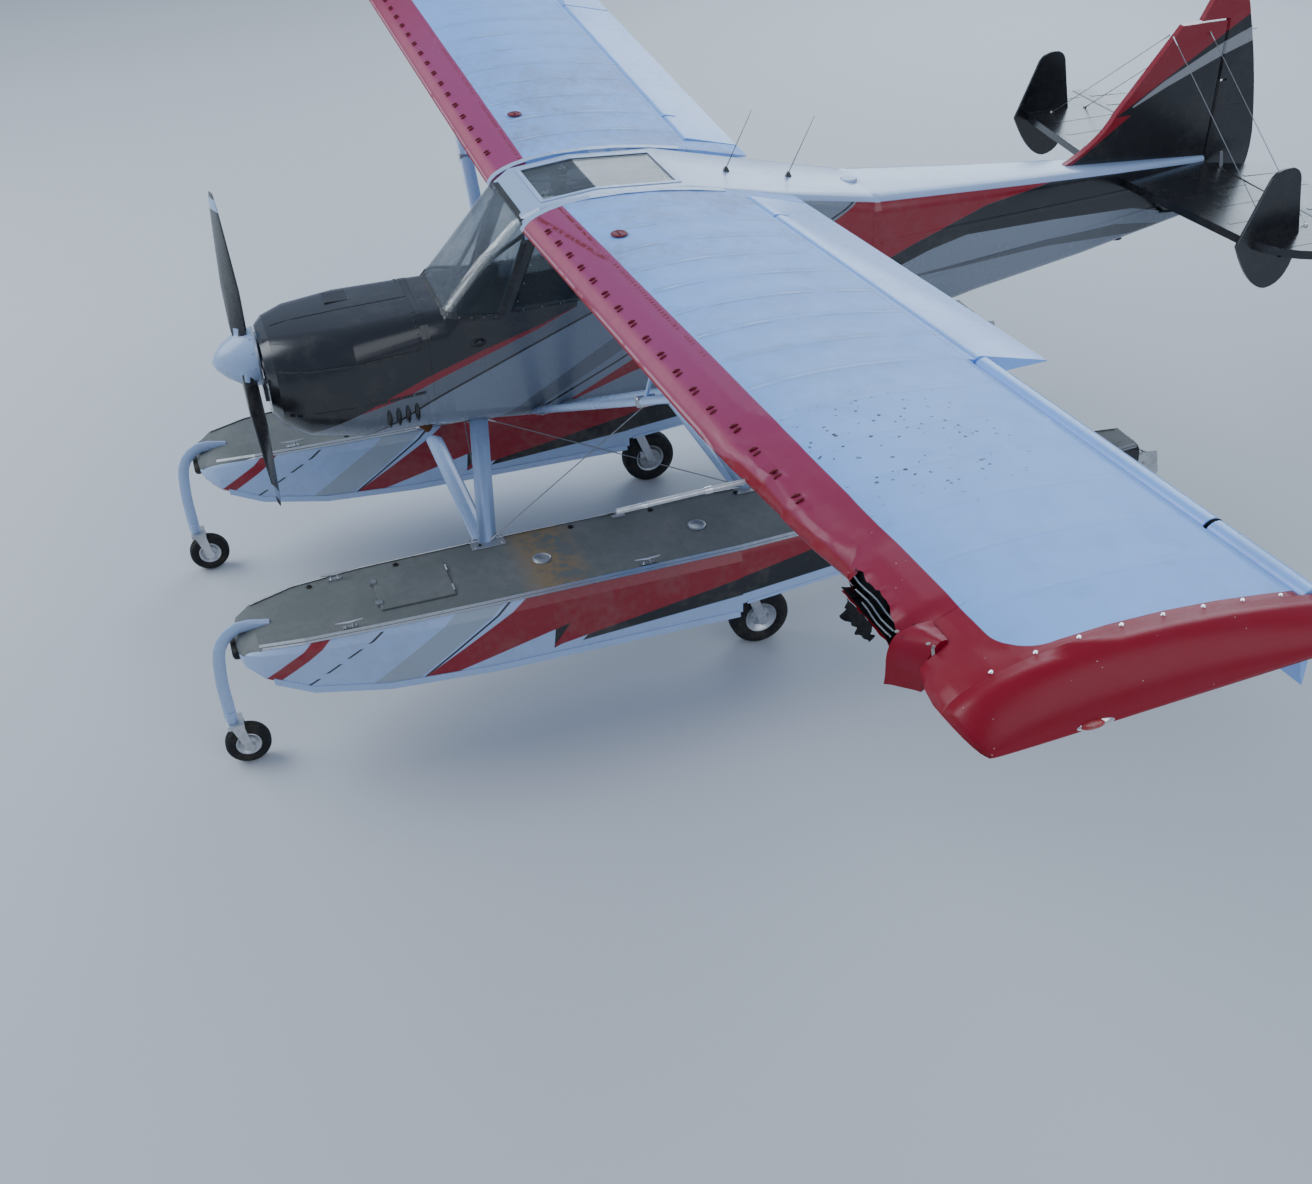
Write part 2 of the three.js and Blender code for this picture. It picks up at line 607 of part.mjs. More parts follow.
// Tailplane in plan: x outboard, y aft
function stabilizerShape() {
  const shape = new THREE.Shape();
  shape.moveTo(20, 4040);
  shape.lineTo(1180, 4150);
  shape.quadraticCurveTo(1520, 4200, 1580, 4560);
  shape.lineTo(1585, TAIL.post);
  shape.lineTo(20, TAIL.post);
  return shape;
}

// Small fin at the tailplane's end, drawn in the side view about the tailplane's own height
function finletShape() {
  const shape = new THREE.Shape();
  shape.moveTo(4060, TAIL.z);
  shape.lineTo(4215, TAIL.z + 380);
  shape.quadraticCurveTo(4250, TAIL.z + 440, 4330, TAIL.z + 440);
  shape.quadraticCurveTo(4420, TAIL.z + 440, 4430, TAIL.z + 340);
  shape.lineTo(4500, TAIL.z);
  shape.quadraticCurveTo(4500, TAIL.z - 290, 4330, TAIL.z - 300);
  shape.quadraticCurveTo(4200, TAIL.z - 290, 4060, TAIL.z);
  return shape;
}

const FINLET_X = 1260;
const ELEVATOR = { hinge: 820, slot: 14, thick: 44 };

function stabilizer() {
  const plate = planPlate(stabilizerShape(), TAIL.z - 26, TAIL.z + 26);
  const finlet = sidePlate(finletShape(), FINLET_X - 9, FINLET_X + 9);
  const [x, half] = [ELEVATOR.hinge, ELEVATOR.slot / 2 - GAP];
  const disc = cylinder(v3(x - half, TAIL.hinge, TAIL.z), v3(x + half, TAIL.hinge, TAIL.z), 12, 12);
  const arm = box(x - 2, x + 2, TAIL.post - 20, TAIL.hinge, TAIL.z - 10, TAIL.z + 10);
  return plate.add(finlet).add(disc).add(arm);
}

// The elevator thins from its round nose to the trailing edge, and is cut away inboard for the rudder.
function elevator() {
  const half = ELEVATOR.thick / 2;
  const ring = (x) => {
    const nose = [];
    for (let i = 0; i <= 8; i++) {
      const turn = -Math.PI / 2 - (i / 8) * Math.PI;
      nose.push(v3(x, TAIL.hinge + half * Math.cos(turn), TAIL.z + half * Math.sin(turn)));
    }
    return [v3(x, 5105, TAIL.z + 4), v3(x, 5105, TAIL.z - 4), ...nose];
  };
  const slab = loft([ring(60), ring(1585)]);
  const plan = new THREE.Shape();
  plan.moveTo(78, TAIL.hinge - 40);
  plan.lineTo(78, TAIL.hinge + 10);
  plan.lineTo(238, 5110);
  plan.lineTo(1430, 5110);
  plan.quadraticCurveTo(1585, 5060, 1585, 4900);
  plan.lineTo(1585, TAIL.hinge - 40);
  const x = ELEVATOR.hinge;
  return slab
    .intersect(planPlate(plan, TAIL.z - 60, TAIL.z + 60))
    .subtract(box(x - ELEVATOR.slot / 2, x + ELEVATOR.slot / 2, TAIL.hinge - 60, TAIL.hinge + 48, TAIL.z - 60, TAIL.z + 60));
}

function seat(y) {
  const side = outline([
    [y, -1200], [y + 380, -1200], [y + 430, -900], [y + 500, -380],
    [y + 420, -360], [y + 330, -850], [y - 40, -830], [y - 40, -910],
  ]);
  return sidePlate(side, -215, 215);
}

function panel() {
  const room = hull(CABIN_ROWS, CABIN.wall + GAP, [CABIN.wall, -CABIN.wall]);
  return largest(room.intersect(box(-600, 600, -450, -415, -800, -480)));
}

const airframe = new THREE.Group();
airframe.position.set(0, PLACE.y, PLACE.z);
const leftSide = new THREE.Group();
const rightSide = new THREE.Group();
rightSide.scale.x = -1;
airframe.add(leftSide, rightSide);

function add(group, name, body, paint) {
  const piece = new THREE.Mesh(geometryOf(body), material(PAINT[paint]));
  piece.name = name;
  group.add(piece);
  return body;
}

const mirror = (body) => body.scale([-1, 1, 1]);

const cabinBody = add(airframe, "cabin", cabin(), "white");
const tailHollow = hull(TAIL_ROWS, 30, [-10, -400]);
const tailShell = hull(TAIL_ROWS).subtract(tailHollow).add(rudderArm(RUDDER_HINGES[1]));
const tailBody = add(airframe, "tail_cone", tailShell, "white");
add(airframe, "engine_cowl", cowl(), "black");
add(airframe, "engine_block", engine(), "alloy");
add(airframe, "propeller", propeller(), "white");
const shell = glassShell();
const roof = [SKYLIGHT.half - GAP, SKYLIGHT.front + GAP, SKYLIGHT.rear - GAP];
const PANES = [
  ["windshield", sidePlate(outline(inset(WINDSHIELD)), -600, 600)],
  ["window_left", pane(inset(LEFT_WINDOW), 1)],
  ["window_right_front", pane(inset(RIGHT_FRONT_WINDOW), -1)],
  ["window_right_rear", pane(inset(RIGHT_REAR_WINDOW), -1)],
  ["skylight", box(-roof[0], roof[0], roof[1], roof[2], 0, 300)],
  ["door_window", pane(inset(doorWindow), -1)],
];
for (const [name, cut] of PANES) add(airframe, name, largest(shell.intersect(cut)), "glass");
const lowerHinge = knuckles(LOW_PIN, LEAF_KNUCKLES, 18);
add(airframe, "door_lower", doorLeaf(DOOR.low, DOOR.split - DOOR.clear - 2, lowerHinge), "white");
const upperHinge = knuckles(TOP_PIN, LEAF_KNUCKLES, -18);
const upperLeaf = doorLeaf(DOOR.split + DOOR.clear, DOOR.top, upperHinge).subtract(pane(doorWindow, -1));
add(airframe, "door_upper", upperLeaf, "white");
add(airframe, "instrument_panel", panel(), "black");
add(airframe, "seat_front", seated(seat(330), cabinBody), "cloth");
add(airframe, "seat_rear", seated(seat(1130), cabinBody), "cloth");

const finBody = sidePlate(finShape(), -TAIL.nose, TAIL.nose).add(rudderArm(RUDDER_HINGES[0]));
add(airframe, "fin", seated(finBody, tailBody), "red");
add(airframe, "rudder", rudder(), "red");

const floatBody = floatHull();
for (const [group, side, name] of [[leftSide, 1, "left"], [rightSide, -1, "right"]]) {
  const here = (body) => (side > 0 ? body : mirror(body));
  const wingBody = add(group, "wing_" + name, wing(side > 0), "white");
  add(group, "wing_tip_" + name, wingTip(), "red");
  add(group, "flap_" + name, surface(FLAP), "white");
  const aileron = surface(AILERON);
  add(group, "aileron_" + name, side > 0 ? swung(aileron, AILERON.hang) : aileron, "white");
  const under = (y) => v3(2750, y, WING.low + rise(2750, y) + 20);
  for (const [where, low, high] of [["front", 20, 300], ["rear", 175, 1010]]) {
    const strut = streamlined(v3(330, low, -1135), under(high), LIFT_STRUT);
    add(group, "lift_strut_" + where + "_" + name, seated(strut, here(cabinBody), wingBody), "white");
  }
  const stabBody = add(group, "stabilizer_" + name, seated(stabilizer(), here(tailBody)), "white");
  add(group, "elevator_" + name, elevator(), "white");
  const brace = streamlined(v3(40, 4420, -700), v3(760, 4420, TAIL.z), TAIL_BRACE);
  add(group, "tail_brace_" + name, seated(brace, here(tailBody), stabBody), "white");
  add(group, "float_" + name, floatBody, "white");
  for (const [where, y, high] of [["front", FLOAT.frontStrut, -330], ["rear", FLOAT.rearStrut, 900]]) {
    const strut = streamlined(v3(770, y, FLOAT.deck - 20), v3(290, high, -1120));
    add(group, "float_strut_" + where + "_" + name, seated(strut, here(cabinBody), floatBody), "white");
  }
  add(group, "nose_leg_" + name, seated(noseLeg(), floatBody), "alloy");
  add(group, "nose_fork_" + name, noseFork(), "alloy");
  add(group, "nose_wheel_" + name, wheel(NOSE_WHEEL), "rubber");
  add(group, "main_leg_" + name, mainLeg(), "alloy");
  add(group, "main_wheel_" + name, wheel(MAIN_WHEEL), "rubber");
  add(group, "water_rudder_" + name, waterRudder(), "alloy");
  if (side > 0) {
    const boom = cylinder(v3(3520, 160, 178), v3(3520, -480, 160), 11, 12);
    add(group, "pitot_boom", seated(boom, wingBody), "alloy");
  }
}
for (const [where, y] of [["front", FLOAT.frontStrut], ["rear", FLOAT.rearStrut]]) {
  const bar = streamlined(v3(-720, y, -1770), v3(720, y, -1770));
  add(airframe, "spreader_bar_" + where, seated(bar, floatBody, mirror(floatBody)), "white");
}

const floatplane = new THREE.Group();
floatplane.add(airframe);

export default floatplane;
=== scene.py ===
"""A strut-braced floatplane on amphibious floats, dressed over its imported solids.

Every length is in metres, in the solids' own frame: +Z up, the nose towards -Y, the left wing
towards +X. Places given as (x, y, z) are measured "from the wing", which is from the wing's
leading edge at the root, and at() sets them down in the frame.
"""

import json
import math
from functools import partialmethod

import bmesh
import bpy
from bpy.props import FloatProperty, FloatVectorProperty, IntProperty, PointerProperty
from mathutils import Matrix, Vector, noise

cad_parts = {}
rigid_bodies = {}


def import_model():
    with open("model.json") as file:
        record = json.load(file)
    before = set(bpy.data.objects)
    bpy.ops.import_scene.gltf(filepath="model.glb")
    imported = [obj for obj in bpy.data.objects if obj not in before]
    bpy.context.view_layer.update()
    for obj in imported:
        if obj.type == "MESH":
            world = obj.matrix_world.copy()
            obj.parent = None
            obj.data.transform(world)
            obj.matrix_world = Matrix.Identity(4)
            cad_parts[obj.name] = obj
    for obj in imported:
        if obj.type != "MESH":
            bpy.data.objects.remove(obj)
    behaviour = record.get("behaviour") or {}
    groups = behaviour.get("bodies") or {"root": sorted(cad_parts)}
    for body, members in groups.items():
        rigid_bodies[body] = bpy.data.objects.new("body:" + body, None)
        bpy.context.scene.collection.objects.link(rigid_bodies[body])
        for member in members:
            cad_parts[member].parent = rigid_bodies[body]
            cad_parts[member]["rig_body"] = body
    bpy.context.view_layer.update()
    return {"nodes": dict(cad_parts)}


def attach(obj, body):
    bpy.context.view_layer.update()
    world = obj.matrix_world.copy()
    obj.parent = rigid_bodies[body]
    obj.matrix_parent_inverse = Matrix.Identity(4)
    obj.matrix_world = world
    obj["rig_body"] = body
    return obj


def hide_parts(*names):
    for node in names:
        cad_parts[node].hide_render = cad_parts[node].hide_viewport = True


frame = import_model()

bl_info = {
    "name": "Floatplane",
    "version": (1, 0, 0),
    "blender": (4, 5, 0),
    "location": "View3D > Sidebar > Floatplane",
    "description": "Dresses the solids of a small floatplane",
    "category": "Object",
}

ROOT = Vector((0, -1.4825, 2.63))
GROUND_Z = -2.63
DIHEDRAL = math.tan(math.radians(3.5))
WING_ROOT_X = 0.362
CHORD = 1.63
TWIST = 0.011
# The flat underside of the wing lies this far under the place that rise() gives
UNDERSIDE = -0.056
# Where the wing's tip is screwed on, and where the crushed nose of the left wing begins
TIP_X = 5.118
CRUSH_X = 3.15
# The share of the chord over which the crushed nose eases back into the whole wing
EASE = 0.16
FLOAT_X = 1.05
THRUST_Z = -0.64
SIDES = (("left", 1), ("right", -1))
SIGNS = (1, -1)
X_AXIS, Y_AXIS, Z_AXIS = Vector((1, 0, 0)), Vector((0, 1, 0)), Vector((0, 0, 1))


def vec(x, y, z):
    return Vector((x, y, z))


def up(height):
    return vec(0, 0, height)


def at(x, y, z):
    """A place given from the wing's leading edge at the root."""
    return vec(x, y, z) + ROOT


def rise(x, y=0):
    """How far the wing has risen at x and y, its trailing edge a little more than its leading edge."""
    return (abs(x) - WING_ROOT_X) * (DIHEDRAL + y * TWIST)


def unit(value):
    return min(1, max(0, value))


def bumps(x, y, z):
    return noise.noise(vec(x, y, z))


def setting(group, name):
    return getattr(getattr(bpy.context.scene, "floatplane_" + group), name)


def tint(name, description, colour):
    return FloatVectorProperty(name=name, description=description, subtype="COLOR", default=colour, min=0, max=1)


def length(name, description, default, least=0.0):
    return FloatProperty(name=name, description=description, unit="LENGTH", default=default, min=least)


class PaintSettings(bpy.types.PropertyGroup):
    # Fabric, White and Light grey are tinted blue and darkened from the paints' own white and light grey: painted sky
    # light and painted shade.
    fabric: tint("Fabric", "Fabric of the wings and their surfaces", (0.26, 0.5, 0.99))
    white: tint("White", "Struts, floats and spine", (0.39, 0.52, 0.76))
    red: tint("Red", "Leading edges and trim", (0.28, 0.001, 0.014))
    black: tint("Black", "Upper sides and tail", (0.005, 0.006, 0.009))
    band: tint("Grey band", "Bands beside the trim", (0.13, 0.15, 0.18))
    side: tint("Light grey", "Lower sides", (0.21, 0.245, 0.305))
    deck: tint("Deck grey", "Tops of the floats", (0.12, 0.13, 0.125))


class WingSettings(bpy.types.PropertyGroup):
    rib_pitch: length("Rib pitch", "Distance between wing ribs", 0.298, 0.1)
    fabric_sag: length("Fabric sag", "How far the fabric dips between ribs", 0.015)
    band_depth: length("Band depth", "Chord of the red leading edge", 0.235, 0.05)
    vane_pitch: length("Vane pitch", "Distance between pairs of vortex vanes", 0.2, 0.1)
    crumple: length("Crumple", "Depth of the folds in the crushed edge", 0.02)


class FloatSettings(bpy.types.PropertyGroup):
    rivet_pitch: length("Rivet pitch", "Distance between rivets", 0.045, 0.02)
    rivet_radius: length("Rivet radius", "Radius of a rivet head", 0.0042, 0.001)


class CushionSettings(bpy.types.PropertyGroup):
    pressure: FloatProperty(name="Pressure", description="Pressure inside a filling cushion", default=4.0, min=0.0)
    frames: IntProperty(name="Frames", description="Length of the filling simulation", default=16, min=2)
    cap: length("Cap", "Farthest that a point may swell", 0.016)


# --- node trees ---------------------------------------------------------------------------


class Tree:
    """A node tree that is filled one call at a time."""

    def __init__(self, tree):
        self.tree = tree

    def put(self, socket, value):
        """Links or sets an input. A colour may leave out its fourth number, which is 1."""
        if isinstance(value, bpy.types.NodeSocket):
            self.tree.links.new(value, socket)
        elif value is not None:
            socket.default_value = (*value, 1) if socket.type == "RGBA" and len(value) == 3 else value

    def node(self, kind, inputs=None, **settings):
        node = self.tree.nodes.new("ShaderNode" + kind)
        for key, value in settings.items():
            setattr(node, key, value)
        for key, value in (inputs or {}).items():
            self.put(node.inputs[key], value)
        return node

    def math(self, operation, a, b=None, c=None, clamp=False):
        return self.node("Math", {0: a, 1: b, 2: c}, operation=operation, use_clamp=clamp).outputs[0]

    add, sub = partialmethod(math, "ADD"), partialmethod(math, "SUBTRACT")
    mul, fma = partialmethod(math, "MULTIPLY"), partialmethod(math, "MULTIPLY_ADD")
    most, least = partialmethod(math, "MAXIMUM"), partialmethod(math, "MINIMUM")
    over, under = partialmethod(math, "GREATER_THAN"), partialmethod(math, "LESS_THAN")
    abs, fract = partialmethod(math, "ABSOLUTE"), partialmethod(math, "FRACT")
    sine, root = partialmethod(math, "SINE"), partialmethod(math, "SQRT")

    def mix(self, factor, a, b):
        return self.node("Mix", {0: factor, 6: a, 7: b}, data_type="RGBA").outputs[2]

    def paint_over(self, colour, layers):
        """Lays each (mask, colour) over the ones before it."""
        for mask, layer in layers:
            colour = self.mix(mask, colour, layer)
        return colour

    def noise(self, vector, scale, detail=None, roughness=None):
        inputs = {"Vector": vector, "Scale": scale, "Detail": detail, "Roughness": roughness}
        return self.node("TexNoise", inputs).outputs[0]

    def group(self, name, *values):
        """A shared effect, its inputs given in their order."""
        node = self.tree.nodes.new("ShaderNodeGroup")
        node.node_tree = GROUPS[name]
        for socket, value in zip(node.inputs, values):
            self.put(socket, value)
        return node.outputs

    def object_coordinates(self):
        return self.node("TexCoord").outputs["Object"]

    def from_wing(self):
        """The place, x, y and z measured from the wing's leading edge at the root."""
        vector = self.node("VectorMath", {0: self.object_coordinates(), 1: tuple(-ROOT)}, operation="ADD").outputs[0]
        return vector, *self.node("SeparateXYZ", {0: vector}).outputs

    def distance(self, x, y, z, centre):
        """How far (x, y, z) lies from the centre. A 0 leaves an axis out."""
        flat = self.node("CombineXYZ", {0: x, 1: y, 2: z}).outputs[0]
        return self.node("VectorMath", {0: flat, 1: centre}, operation="DISTANCE").outputs[1]

    def beyond(self, value, edge, soft=0.004):
        """1 where value is over edge."""
        return self.fma(self.sub(value, edge), 1 / soft, 0.5, clamp=True)

    def within(self, value, edge, soft=0.004):
        """1 where value is under edge."""
        return self.inverse(self.beyond(value, edge, soft))

    def near(self, value, middle, reach, soft):
        """1 where value is less than reach from middle."""
        return self.within(self.abs(self.sub(value, middle)), reach, soft)

    def both(self, *masks):
        result = masks[0]
        for mask in masks[1:]:
            result = self.mul(result, mask)
        return result

    def inverse(self, mask):
        return self.sub(1, mask)

    def side_of(self, y, z, a, b, soft=0.004):
        """1 on the upper side of the line from a to b in the side view, when a is ahead of b."""
        (ay, az), (by, bz) = a, b
        span = math.hypot(by - ay, bz - az)
        ny, nz = -(bz - az) / span, (by - ay) / span
        offset = -(ay * ny + az * nz)
        distance = self.fma(z, nz, self.fma(y, ny, offset))
        return self.fma(distance, 1 / soft, 0.5, clamp=True)

    def above(self, y, z, points, soft=0.004):
        """1 above a boundary through the points (y, z), which stays level beyond both ends."""
        y0, y1 = points[0][0], points[-1][0]
        low = min(p[1] for p in points) - 0.01
        high = max(p[1] for p in points) + 0.01
        curve = self.node("FloatCurve")
        graph = curve.mapping.curves[0]
        spots = [((py - y0) / (y1 - y0), (pz - low) / (high - low)) for py, pz in points]
        while len(graph.points) < len(spots):
            graph.points.new(0.5, 0.5)
        for point, spot in zip(graph.points, spots):
            point.location = spot
            point.handle_type = "VECTOR"
        curve.mapping.update()
        self.put(curve.inputs["Value"], self.fma(y, 1 / (y1 - y0), -y0 / (y1 - y0), clamp=True))
        level = self.fma(curve.outputs[0], high - low, low)
        return self.fma(self.sub(z, level), 1 / soft, 0.5, clamp=True)

    def polygon(self, y, z, corners, soft=0.004):
        """1 inside a convex outline in the side view, its corners in clockwise order as y runs right."""
        edges = zip(corners, corners[1:] + corners[:1])
        return self.both(*[self.inverse(self.side_of(y, z, a, b, soft)) for a, b in edges])


GROUPS = {}


def new_group(name, outputs, **inputs):
    """An effect that takes a Vector and the named numbers."""
    group = bpy.data.node_groups.new(name, "ShaderNodeTree")
    group.interface.new_socket("Vector", in_out="INPUT", socket_type="NodeSocketVector")
    for label, default in inputs.items():
        group.interface.new_socket(label, in_out="INPUT", socket_type="NodeSocketFloat").default_value = default
    for label in outputs:
        group.interface.new_socket(label, in_out="OUTPUT", socket_type="NodeSocketFloat")
    GROUPS[name] = group
    t = Tree(group)
    return t, group.nodes.new("NodeGroupInput").outputs, group.nodes.new("NodeGroupOutput").inputs


def build_groups():
    """The effects that several finishes share: grime, scratches, weave and speckle."""
    t, i, o = new_group("Grime", ("Mask", "Height"), Scale=2, Amount=0.5)
    broad = t.noise(i[0], i[1], 6, 0.62)
    fine = t.noise(i[0], t.mul(i[1], 9), 4)
    mixed = t.fma(fine, 0.35, t.mul(broad, 0.65))
    t.put(o[0], t.mul(t.node("MapRange", {0: mixed, 1: 0.46, 2: 0.7}).outputs[0], i[2]))
    t.put(o[1], mixed)

    t, i, o = new_group("Scratches", ("Mask",), Scale=6, Amount=0.5)
    warped = t.node("TexNoise", {"Vector": i[0], "Scale": 1.7, "Detail": 2}).outputs[1]
    bent = t.node("VectorMath", {0: i[0], 1: warped, 2: (0.35, 0.35, 0.35)}, operation="MULTIPLY_ADD").outputs[0]
    wave = {"Vector": bent, "Scale": i[1], "Distortion": 9, "Detail": 4, "Detail Scale": 2.2}
    thin = t.node("MapRange", {0: t.node("TexWave", wave).outputs[1], 1: 0.975, 2: 1}).outputs[0]
    here = t.node("MapRange", {0: t.noise(i[0], 3, 3), 1: 0.52, 2: 0.66}).outputs[0]
    t.put(o[0], t.both(thin, here, i[2]))

    t, i, o = new_group("Weave", ("Height",), Scale=900)
    split = t.node("SeparateXYZ", {0: i[0]})
    threads = [t.sine(t.mul(split.outputs[k], i[1])) for k in range(3)]
    t.put(o[0], t.add(t.add(threads[0], threads[1]), threads[2]))

    t, i, o = new_group("Specks", ("Mask",), Scale=40, Size=0.12)
    cells = t.node("TexVoronoi", {"Vector": i[0], "Scale": i[1]})
    t.put(o[0], t.under(cells.outputs["Distance"], i[2]))


def look(colour, roughness, height=None, **more):
    """What a finish puts on the shader. Names in more are the sockets' own, with _ for a space."""
    made = {key.replace("_", " "): value for key, value in more.items()}
    if height is not None:
        made["Height"] = height
    return {"Base Color": colour, "Roughness": roughness, **made}


def finish(name, build, bump=None, coat=0, sheen=0, specular=0.5):
    """A material. build(tree) gives its look, and bump the strength and distance of its relief."""
    material = bpy.data.materials.new(name)
    material.use_nodes = True
    t = Tree(material.node_tree)
    made = build(t)
    height = made.pop("Height", None)
    if height is not None:
        made["Normal"] = t.node("Bump", {"Strength": bump[0], "Distance": bump[1], "Height": height}).outputs[0]
    made["Specular IOR Level"] = specular
    if coat:
        made.setdefault("Coat Weight", coat)
        made["Coat Roughness"] = 0.22
    if sheen:
        made["Sheen Weight"] = sheen
    shader = material.node_tree.nodes["Principled BSDF"]
    for key, value in made.items():
        t.put(shader.inputs[key], value)
    return material


def colour_of(name):
    return tuple(setting("paint", name))


def worn(t, vector, colour, dirt=0.35, scale=1.6, tone=(0.16, 0.14, 0.1)):
    """A paint colour under a film of dirt, with its roughness."""
    grime = t.group("Grime", vector, scale, dirt)
    return t.mix(t.mul(grime[0], 0.55), colour, tone), t.fma(grime[0], 0.45, 0.24), grime[1]


def wing_fabric(t, vector, place, span, fine, smudge, crumbs, broken):
    """The fabric behind the leading edge, with ribs, seams, smudges and chips, a painted highlight along each rib and
    painted shade beside it, and its rib tapes' height.
    """
    x, y, _ = place
    pitch = setting("wing", "rib_pitch")
    phase = t.fract(t.mul(t.sub(span, WING_ROOT_X), 1 / pitch))
    to_rib = t.mul(t.least(phase, t.inverse(phase)), pitch)
    behind = t.beyond(y, 0.25, 0.02)
    tape = t.both(t.fma(to_rib, -1 / 0.004, 0.022 / 0.004, clamp=True), behind)
    # How strongly the ribs' painted highlight and painted shade show: fully inboard, faintly outboard.
    ribs = t.fma(t.within(span, 3, 0.9), 0.85, 0.15)
    # A pale line on each rib: painted highlight.
    painted_rib_highlight = t.both(t.within(to_rib, 0.004, 0.004), behind, t.beyond(broken, 0.56, 0.04), ribs)
    # A darker band beside each rib: painted shade of the fabric sagging between ribs.
    shade = t.both(t.near(to_rib, 0.02, 0.007, 0.01), behind, t.beyond(broken, 0.45, 0.12), ribs)
    dashes = t.over(t.fract(t.mul(span, 1 / 0.026)), 0.45)
    seam = t.mul(t.under(t.abs(t.sub(y, 1.236)), 0.0028), dashes)
    blotch = t.group("Grime", vector, 2.6, 1)
    off_patch = t.distance(x, y, 0, (3.75, 0.56, 0))
    patch = t.most(t.within(off_patch, 0.42, 0.3), t.both(smudge[0], 0.3))
    specks = t.both(t.group("Specks", vector, 27, 0.23)[0], t.beyond(crumbs, 0.52, 0.02), patch)
    joint = t.both(t.near(span, 2.745, 0.004, 0.004), behind, t.beyond(broken, 0.42, 0.1))
    white = t.paint_over(colour_of("fabric"), (
        (t.both(smudge[0], 0.75), (0.24, 0.34, 0.54)),
        (t.both(blotch[0], t.within(span, 2.2, 1.4), 0.8), (0.24, 0.26, 0.4)),
        (t.both(fine[0], 0.25), (0.3, 0.34, 0.42)),
        # Painted shade and painted highlight along the ribs.
        (t.both(shade, 0.5), (0.19, 0.26, 0.4)),
        (t.both(painted_rib_highlight, 0.55), (0.75, 0.83, 1)),
        (t.both(seam, 0.6), (0.12, 0.14, 0.2)),
        (t.both(joint, 0.35), (0.15, 0.18, 0.27)),
        (t.both(specks, 0.95), (0.015, 0.02, 0.03))))
    return white, tape, blotch


def wing_red(t, vector, place, span, smudge, blotch, crumbs, broken):
    """The red of the leading edge, with a painted sky reflection over its top inboard, a painted highlight streak and a
    painted highlight rim along the nose, and scratches and nicks.
    """
    x, y, z = place
    band = setting("wing", "band_depth")
    inboard = t.within(span, 3.3, 1.6)
    left = t.beyond(x, 0)
    strip = t.both(t.beyond(y, band - 0.031, 0.004), t.within(y, band - 0.014, 0.004), t.within(span, 2.7, 0.9))
    notches = t.over(t.fract(t.mul(t.fma(broken, 0.09, span), 1 / 0.034)), 0.5)
    dark = t.both(t.beyond(crumbs, 0.46, 0.02), t.beyond(broken, 0.42, 0.05), strip, notches)
    off_tear = t.abs(t.sub(y, t.fma(span, 0.13, 0.03)))
    tear = t.both(t.within(off_tear, 0.012, 0.012), t.beyond(crumbs, 0.42, 0.03), t.within(span, 1.3, 0.1), left)
    along = t.both(strip, t.within(span, 1.1, 0.3), t.beyond(crumbs, 0.45, 0.03), left)
    nicks = t.both(t.group("Specks", vector, 31, 0.055)[0], t.beyond(smudge[1], 0.52, 0.02))
    # Mauve over the top of the band, strongest inboard: painted sky reflection.
    painted_sky_reflection = t.fma(t.within(span, 3.7, 2.6), 0.85, 0.02)
    nose = t.fma(t.both(t.beyond(x, 3.3, 0.3), t.within(x, 4.4, 0.03)), 0.058, -0.03)
    over_nose = t.beyond(t.fma(t.sub(span, WING_ROOT_X), -DIHEDRAL, z), nose, 0.012)
    # An orange-pink band just behind the nose: painted highlight.
    painted_highlight_streak = t.both(t.beyond(y, 0.016, 0.012), t.within(y, 0.062, 0.03), over_nose, inboard)
    # A pale pink line along the nose: painted highlight.
    rim = t.both(t.near(y, 0.008, 0.003, 0.004), t.beyond(z, 0), t.within(span, 4.2, 0.2))
    return t.paint_over(colour_of("red"), (
        (t.both(painted_sky_reflection, t.beyond(y, 0.012, 0.02), over_nose), (0.34, 0.05, 0.165)),
        (t.both(painted_highlight_streak, t.fma(blotch[1], 0.8, 0.1)), (0.56, 0.16, 0.17)),
        (t.both(rim, t.beyond(broken, 0.4, 0.1), 0.6), (0.7, 0.42, 0.48)),
        (t.both(smudge[0], 0.2), (0.2, 0.05, 0.09)),
        (t.both(t.most(t.most(dark, along), tear), 0.92), (0.2, 0, 0.004)),
        (t.both(nicks, 0.8), (0.75, 0.7, 0.7))))


def wing_finish(t):
    """Pale fabric with a red leading edge that turns aft round the tip."""
    vector, x, y, z = t.from_wing()
    span = t.abs(x)
    edge = t.fma(t.noise(vector, 1.3, 2), 0.006, setting("wing", "band_depth") - 0.003)
    turn, tip = 0.14, 5.1
    out = t.most(t.sub(span, tip - turn), 0)
    ahead = t.most(t.sub(t.add(edge, turn), y), 0)
    red_mask = t.beyond(t.root(t.add(t.mul(out, out), t.mul(ahead, ahead))), turn, 0.003)
    broken = t.noise(vector, 4.5, 3)
    crumbs = t.noise(vector, 34, 2)
    smudge = t.group("Grime", vector, 1.1, 0.6)
    fine = t.group("Grime", vector, 7, 0.3)
    white, tape, blotch = wing_fabric(t, vector, (x, y, z), span, fine, smudge, crumbs, broken)
    red = wing_red(t, vector, (x, y, z), span, smudge, blotch, crumbs, broken)
    weave = t.group("Weave", vector, 1400)
    height = t.fma(smudge[1], 1.2, t.fma(tape, 0.5, t.mul(weave[0], 0.05)))
    rough = t.fma(fine[0], 0.4, t.mix(red_mask, (0.42, 0.42, 0.42), (0.34, 0.34, 0.34)))
    coat = t.both(red_mask, t.fma(t.beyond(span, tip), -0.08, 0.12))
    return look(t.mix(red_mask, white, red), rough, height, Coat_Weight=coat)


